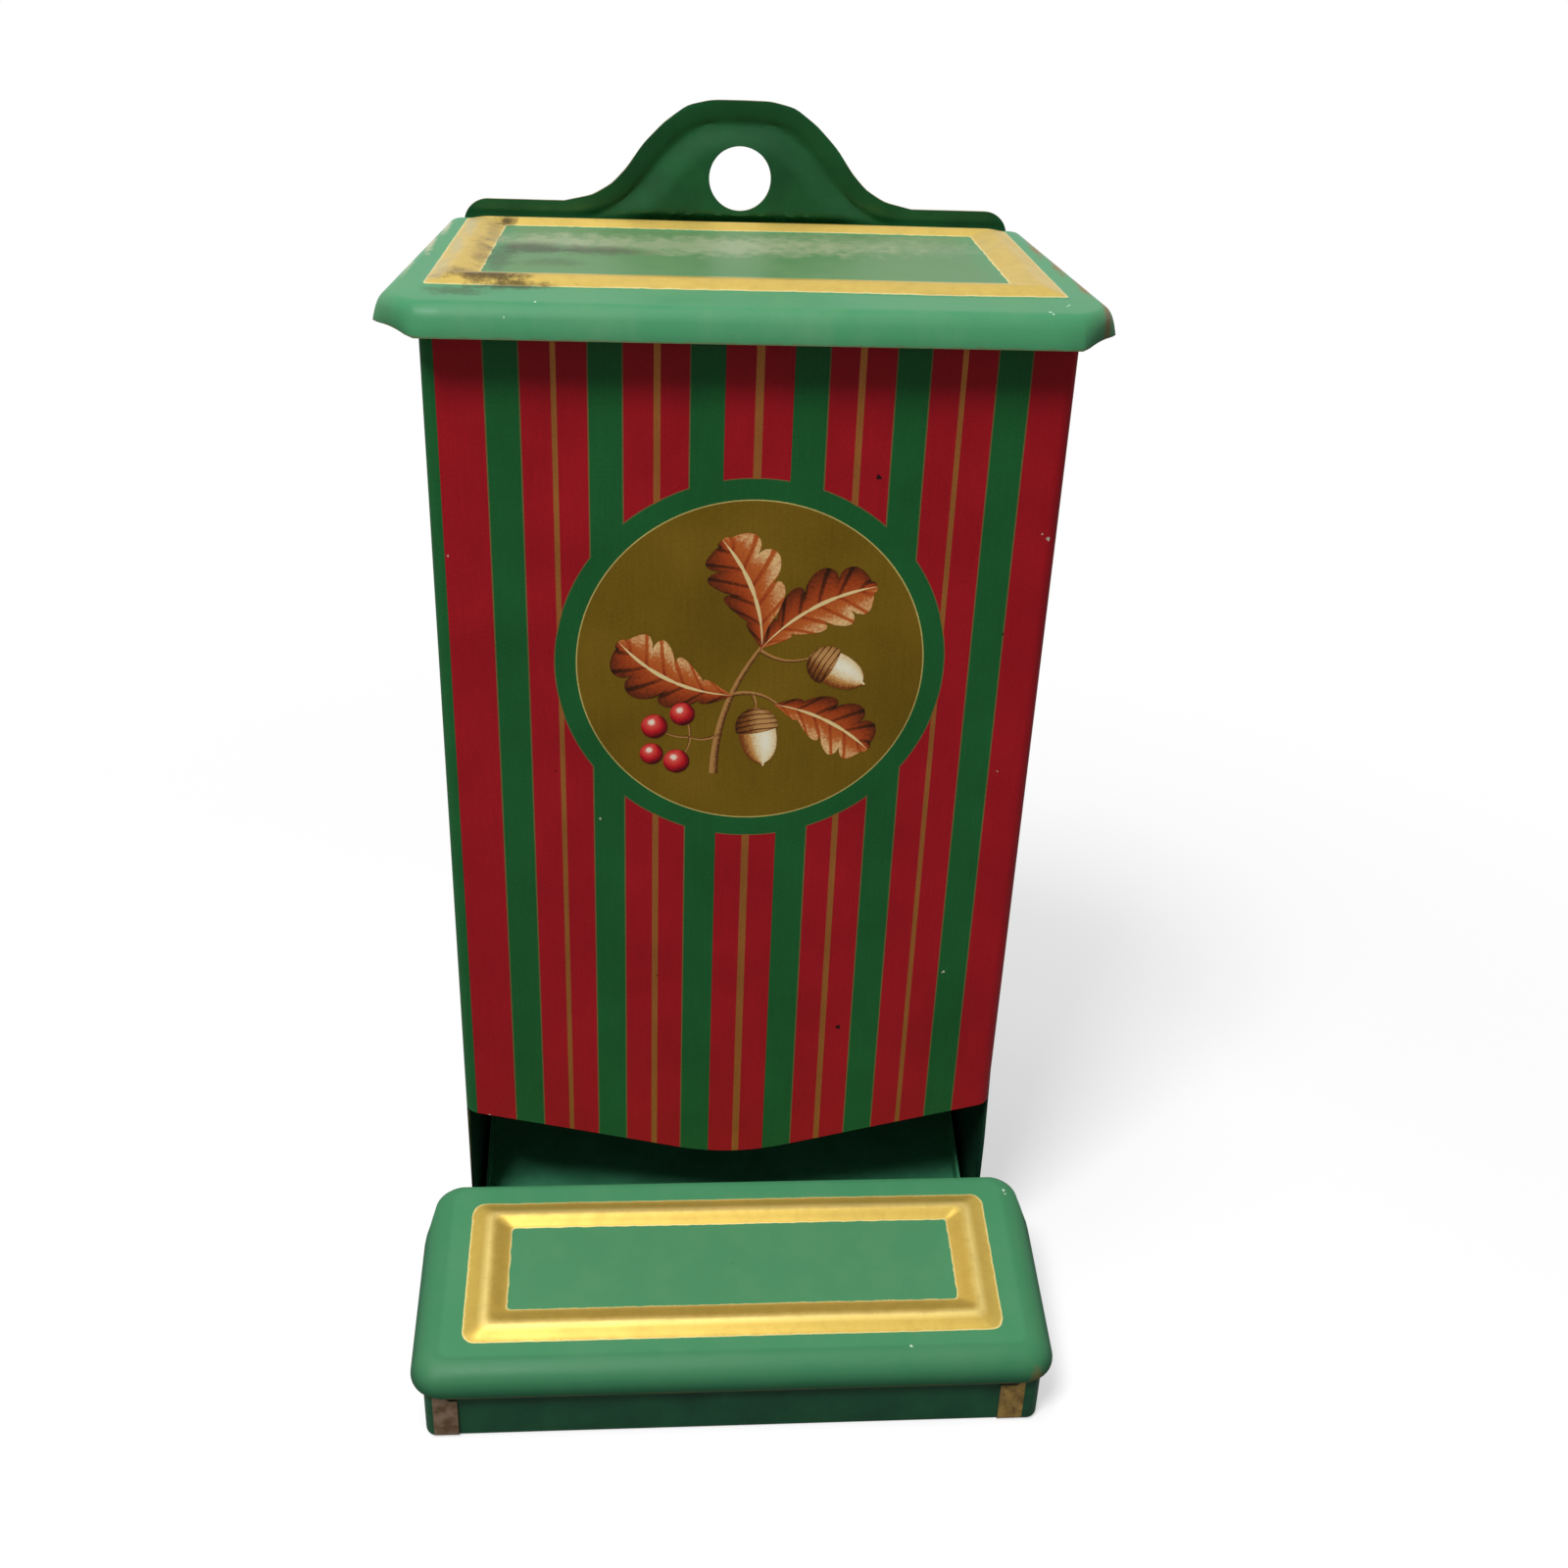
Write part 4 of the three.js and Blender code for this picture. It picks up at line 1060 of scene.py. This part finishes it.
def addSpray(settings):
    # Leaf: a long bell times lobes, sin(pi t^1.25)^0.7 * (0.58 + 0.42 sqrt|sin(pi (4 t + 0.2))|).
    # Nut: a half ellipse with a small nib. Cup: a bowl round the nut's foot. Berry: a circle.
    ink = {name: makeInkMaterial(name, look) for name, look in sprayLook.items()}
    t = np.linspace(0, 1, 81)
    bell = np.maximum(np.sin(math.pi * t ** 1.25), 0) ** 0.7
    lobes = 0.58 + 0.42 * np.sqrt(np.abs(np.sin(math.pi * (4 * t + 0.2))))
    for index, (start, end, bow, wide, lift) in enumerate(settings["leaves"]):
        addBlade(f"sprayLeaf{index}", ink["leafInk"], bowedLine(start, end, bow, 81),
                 wide * np.maximum(bell * lobes, 0.03), lift, lean=0.45)
    for index, (start, end, bow, wide, lift) in enumerate(settings["twigs"]):
        addBlade(f"sprayTwig{index}", ink["twigInk"], bowedLine(start, end, bow, 31),
                 wide * (1 - 0.55 * np.linspace(0, 1, 31)), lift)
    dome = np.sqrt(np.maximum(1 - (np.clip(t / 0.93 - 0.3, 0, 1) / 0.7) ** 2.3, 0))
    nib = 0.14 * np.sqrt(np.clip((1 - t) / 0.08, 0, 1))
    bowl = np.sqrt(np.maximum(1 - (1 - np.clip(t / 0.75, 0, 1)) ** 2, 0))
    bowl = bowl * np.sqrt(np.clip((1 - t) / 0.12, 0, 1))
    for index, (start, end, wide, lift) in enumerate(settings["acorns"]):
        start, end = np.array(start), np.array(end)
        addBlade(f"sprayNut{index}", ink["nutInk"], bowedLine(start + 0.2 * (end - start), end, 0.0, 81),
                 wide * np.maximum(np.maximum(dome, nib), 0.01), lift)
        addBlade(f"sprayCup{index}", ink["cupInk"], bowedLine(start, start + 0.42 * (end - start), 0.0, 81),
                 wide * 1.14 * np.maximum(bowl, 0.05), lift + 0.015)
    for index, (middle, radius, lift) in enumerate(settings["berries"]):
        reach = np.array([0.3, 0.95]) * radius
        middle = np.array(middle)
        addBlade(f"sprayBerry{index}", ink["berryInk"], bowedLine(middle - reach, middle + reach, 0.0, 81),
                 radius * np.maximum(np.sqrt(np.maximum(1 - (2 * t - 1) ** 2, 0)), 0.01), lift)


addSpray(spray)
print("spray made")


# Stage and light

stageLook = {
    "floorHalf": 3.0,
    "shade": 0.3,  # the floor's colour to light that bounces off it
    "seenShade": 0.45,  # and to the camera, close to the tin, where it also glows a little
    "seenGlow": 0.58,
    "near": 0.1, "far": 0.3,  # metres from the tin, over which that turns to plain white
    "ambient": 0.18,
}


def makeStage(settings):
    # The floor is white to the camera but keeps the tin's shadow, and far from the tin it's plain
    # white with no horizon. To the light it's a grey, so it throws little up at the tin.
    half = settings["floorHalf"]
    mesh = bpy.data.meshes.new("stageFloor")
    corners = [(-half, -half, 0), (half, -half, 0), (half, half, 0), (-half, half, 0)]
    mesh.from_pydata(corners, [], [(0, 1, 2, 3)])
    floor = bpy.data.objects.new("stageFloor", mesh)
    bpy.context.scene.collection.objects.link(floor)
    material, node = startMaterial("paleFloor")
    mesh.materials.append(material)
    ray = node("LightPath")
    away = node("VectorMath", [node("TexCoord").outputs["Object"]], operation="LENGTH")
    far = node("MapRange", (away, settings["near"], settings["far"]), interpolation_type="SMOOTHSTEP")
    seen = node("MapRange", (far, 0, 1, settings["seenShade"], 0))
    glow = node("MapRange", (far, 0, 1, settings["seenGlow"], 1))
    shader = node("BsdfPrincipled", {
        "Base Color": node("Mix", {0: ray.outputs["Is Camera Ray"], 2: settings["shade"], 3: seen}),
        "Emission Strength": node("Math", (glow, ray.outputs["Is Camera Ray"]), operation="MULTIPLY"),
        "Emission Color": (1, 1, 1, 1), "Roughness": 0.9, "Specular IOR Level": 0})
    node("OutputMaterial", [shader])


def makeWorld(ambient):
    # White to the camera and in mirror images, and a plain soft level to everything that it lights
    world = bpy.data.worlds.new("studio")
    bpy.context.scene.world = world
    world.use_nodes = True
    world.node_tree.nodes.clear()
    node = partial(addNode, world.node_tree)
    ray = node("LightPath").outputs
    mirrored = node("Math", (ray["Is Glossy Ray"], ray["Is Transmission Ray"]), operation="MAXIMUM")
    direct = node("Math", (ray["Is Camera Ray"], mirrored), operation="MAXIMUM")
    lit, white = (node("Background", ((1, 1, 1, 1), level)) for level in (ambient, 1))
    node("OutputWorld", [node("MixShader", (direct, lit, white))])


def addSoftbox(name, place, target, size, watts):
    # A square lamp at a place in metres, turned to its target
    data = bpy.data.lights.new(name, "AREA")
    data.size = size
    data.energy = watts
    lamp = bpy.data.objects.new(name, data)
    lamp.location = place
    lamp.rotation_euler = (Vector(target) - Vector(place)).to_track_quat("-Z", "Y").to_euler()
    bpy.context.scene.collection.objects.link(lamp)


makeStage(stageLook)
makeWorld(stageLook["ambient"])
addSoftbox("keyLight", (-0.30, -0.44, 0.94), (0, 0, 0.1), 0.28, 8.4)
addSoftbox("topLight", (-0.12, -0.10, 1.08), (0, 0, 0.1), 0.3, 2.6)
bpy.context.scene.view_settings.view_transform = "Standard"
print("stage and lights made")
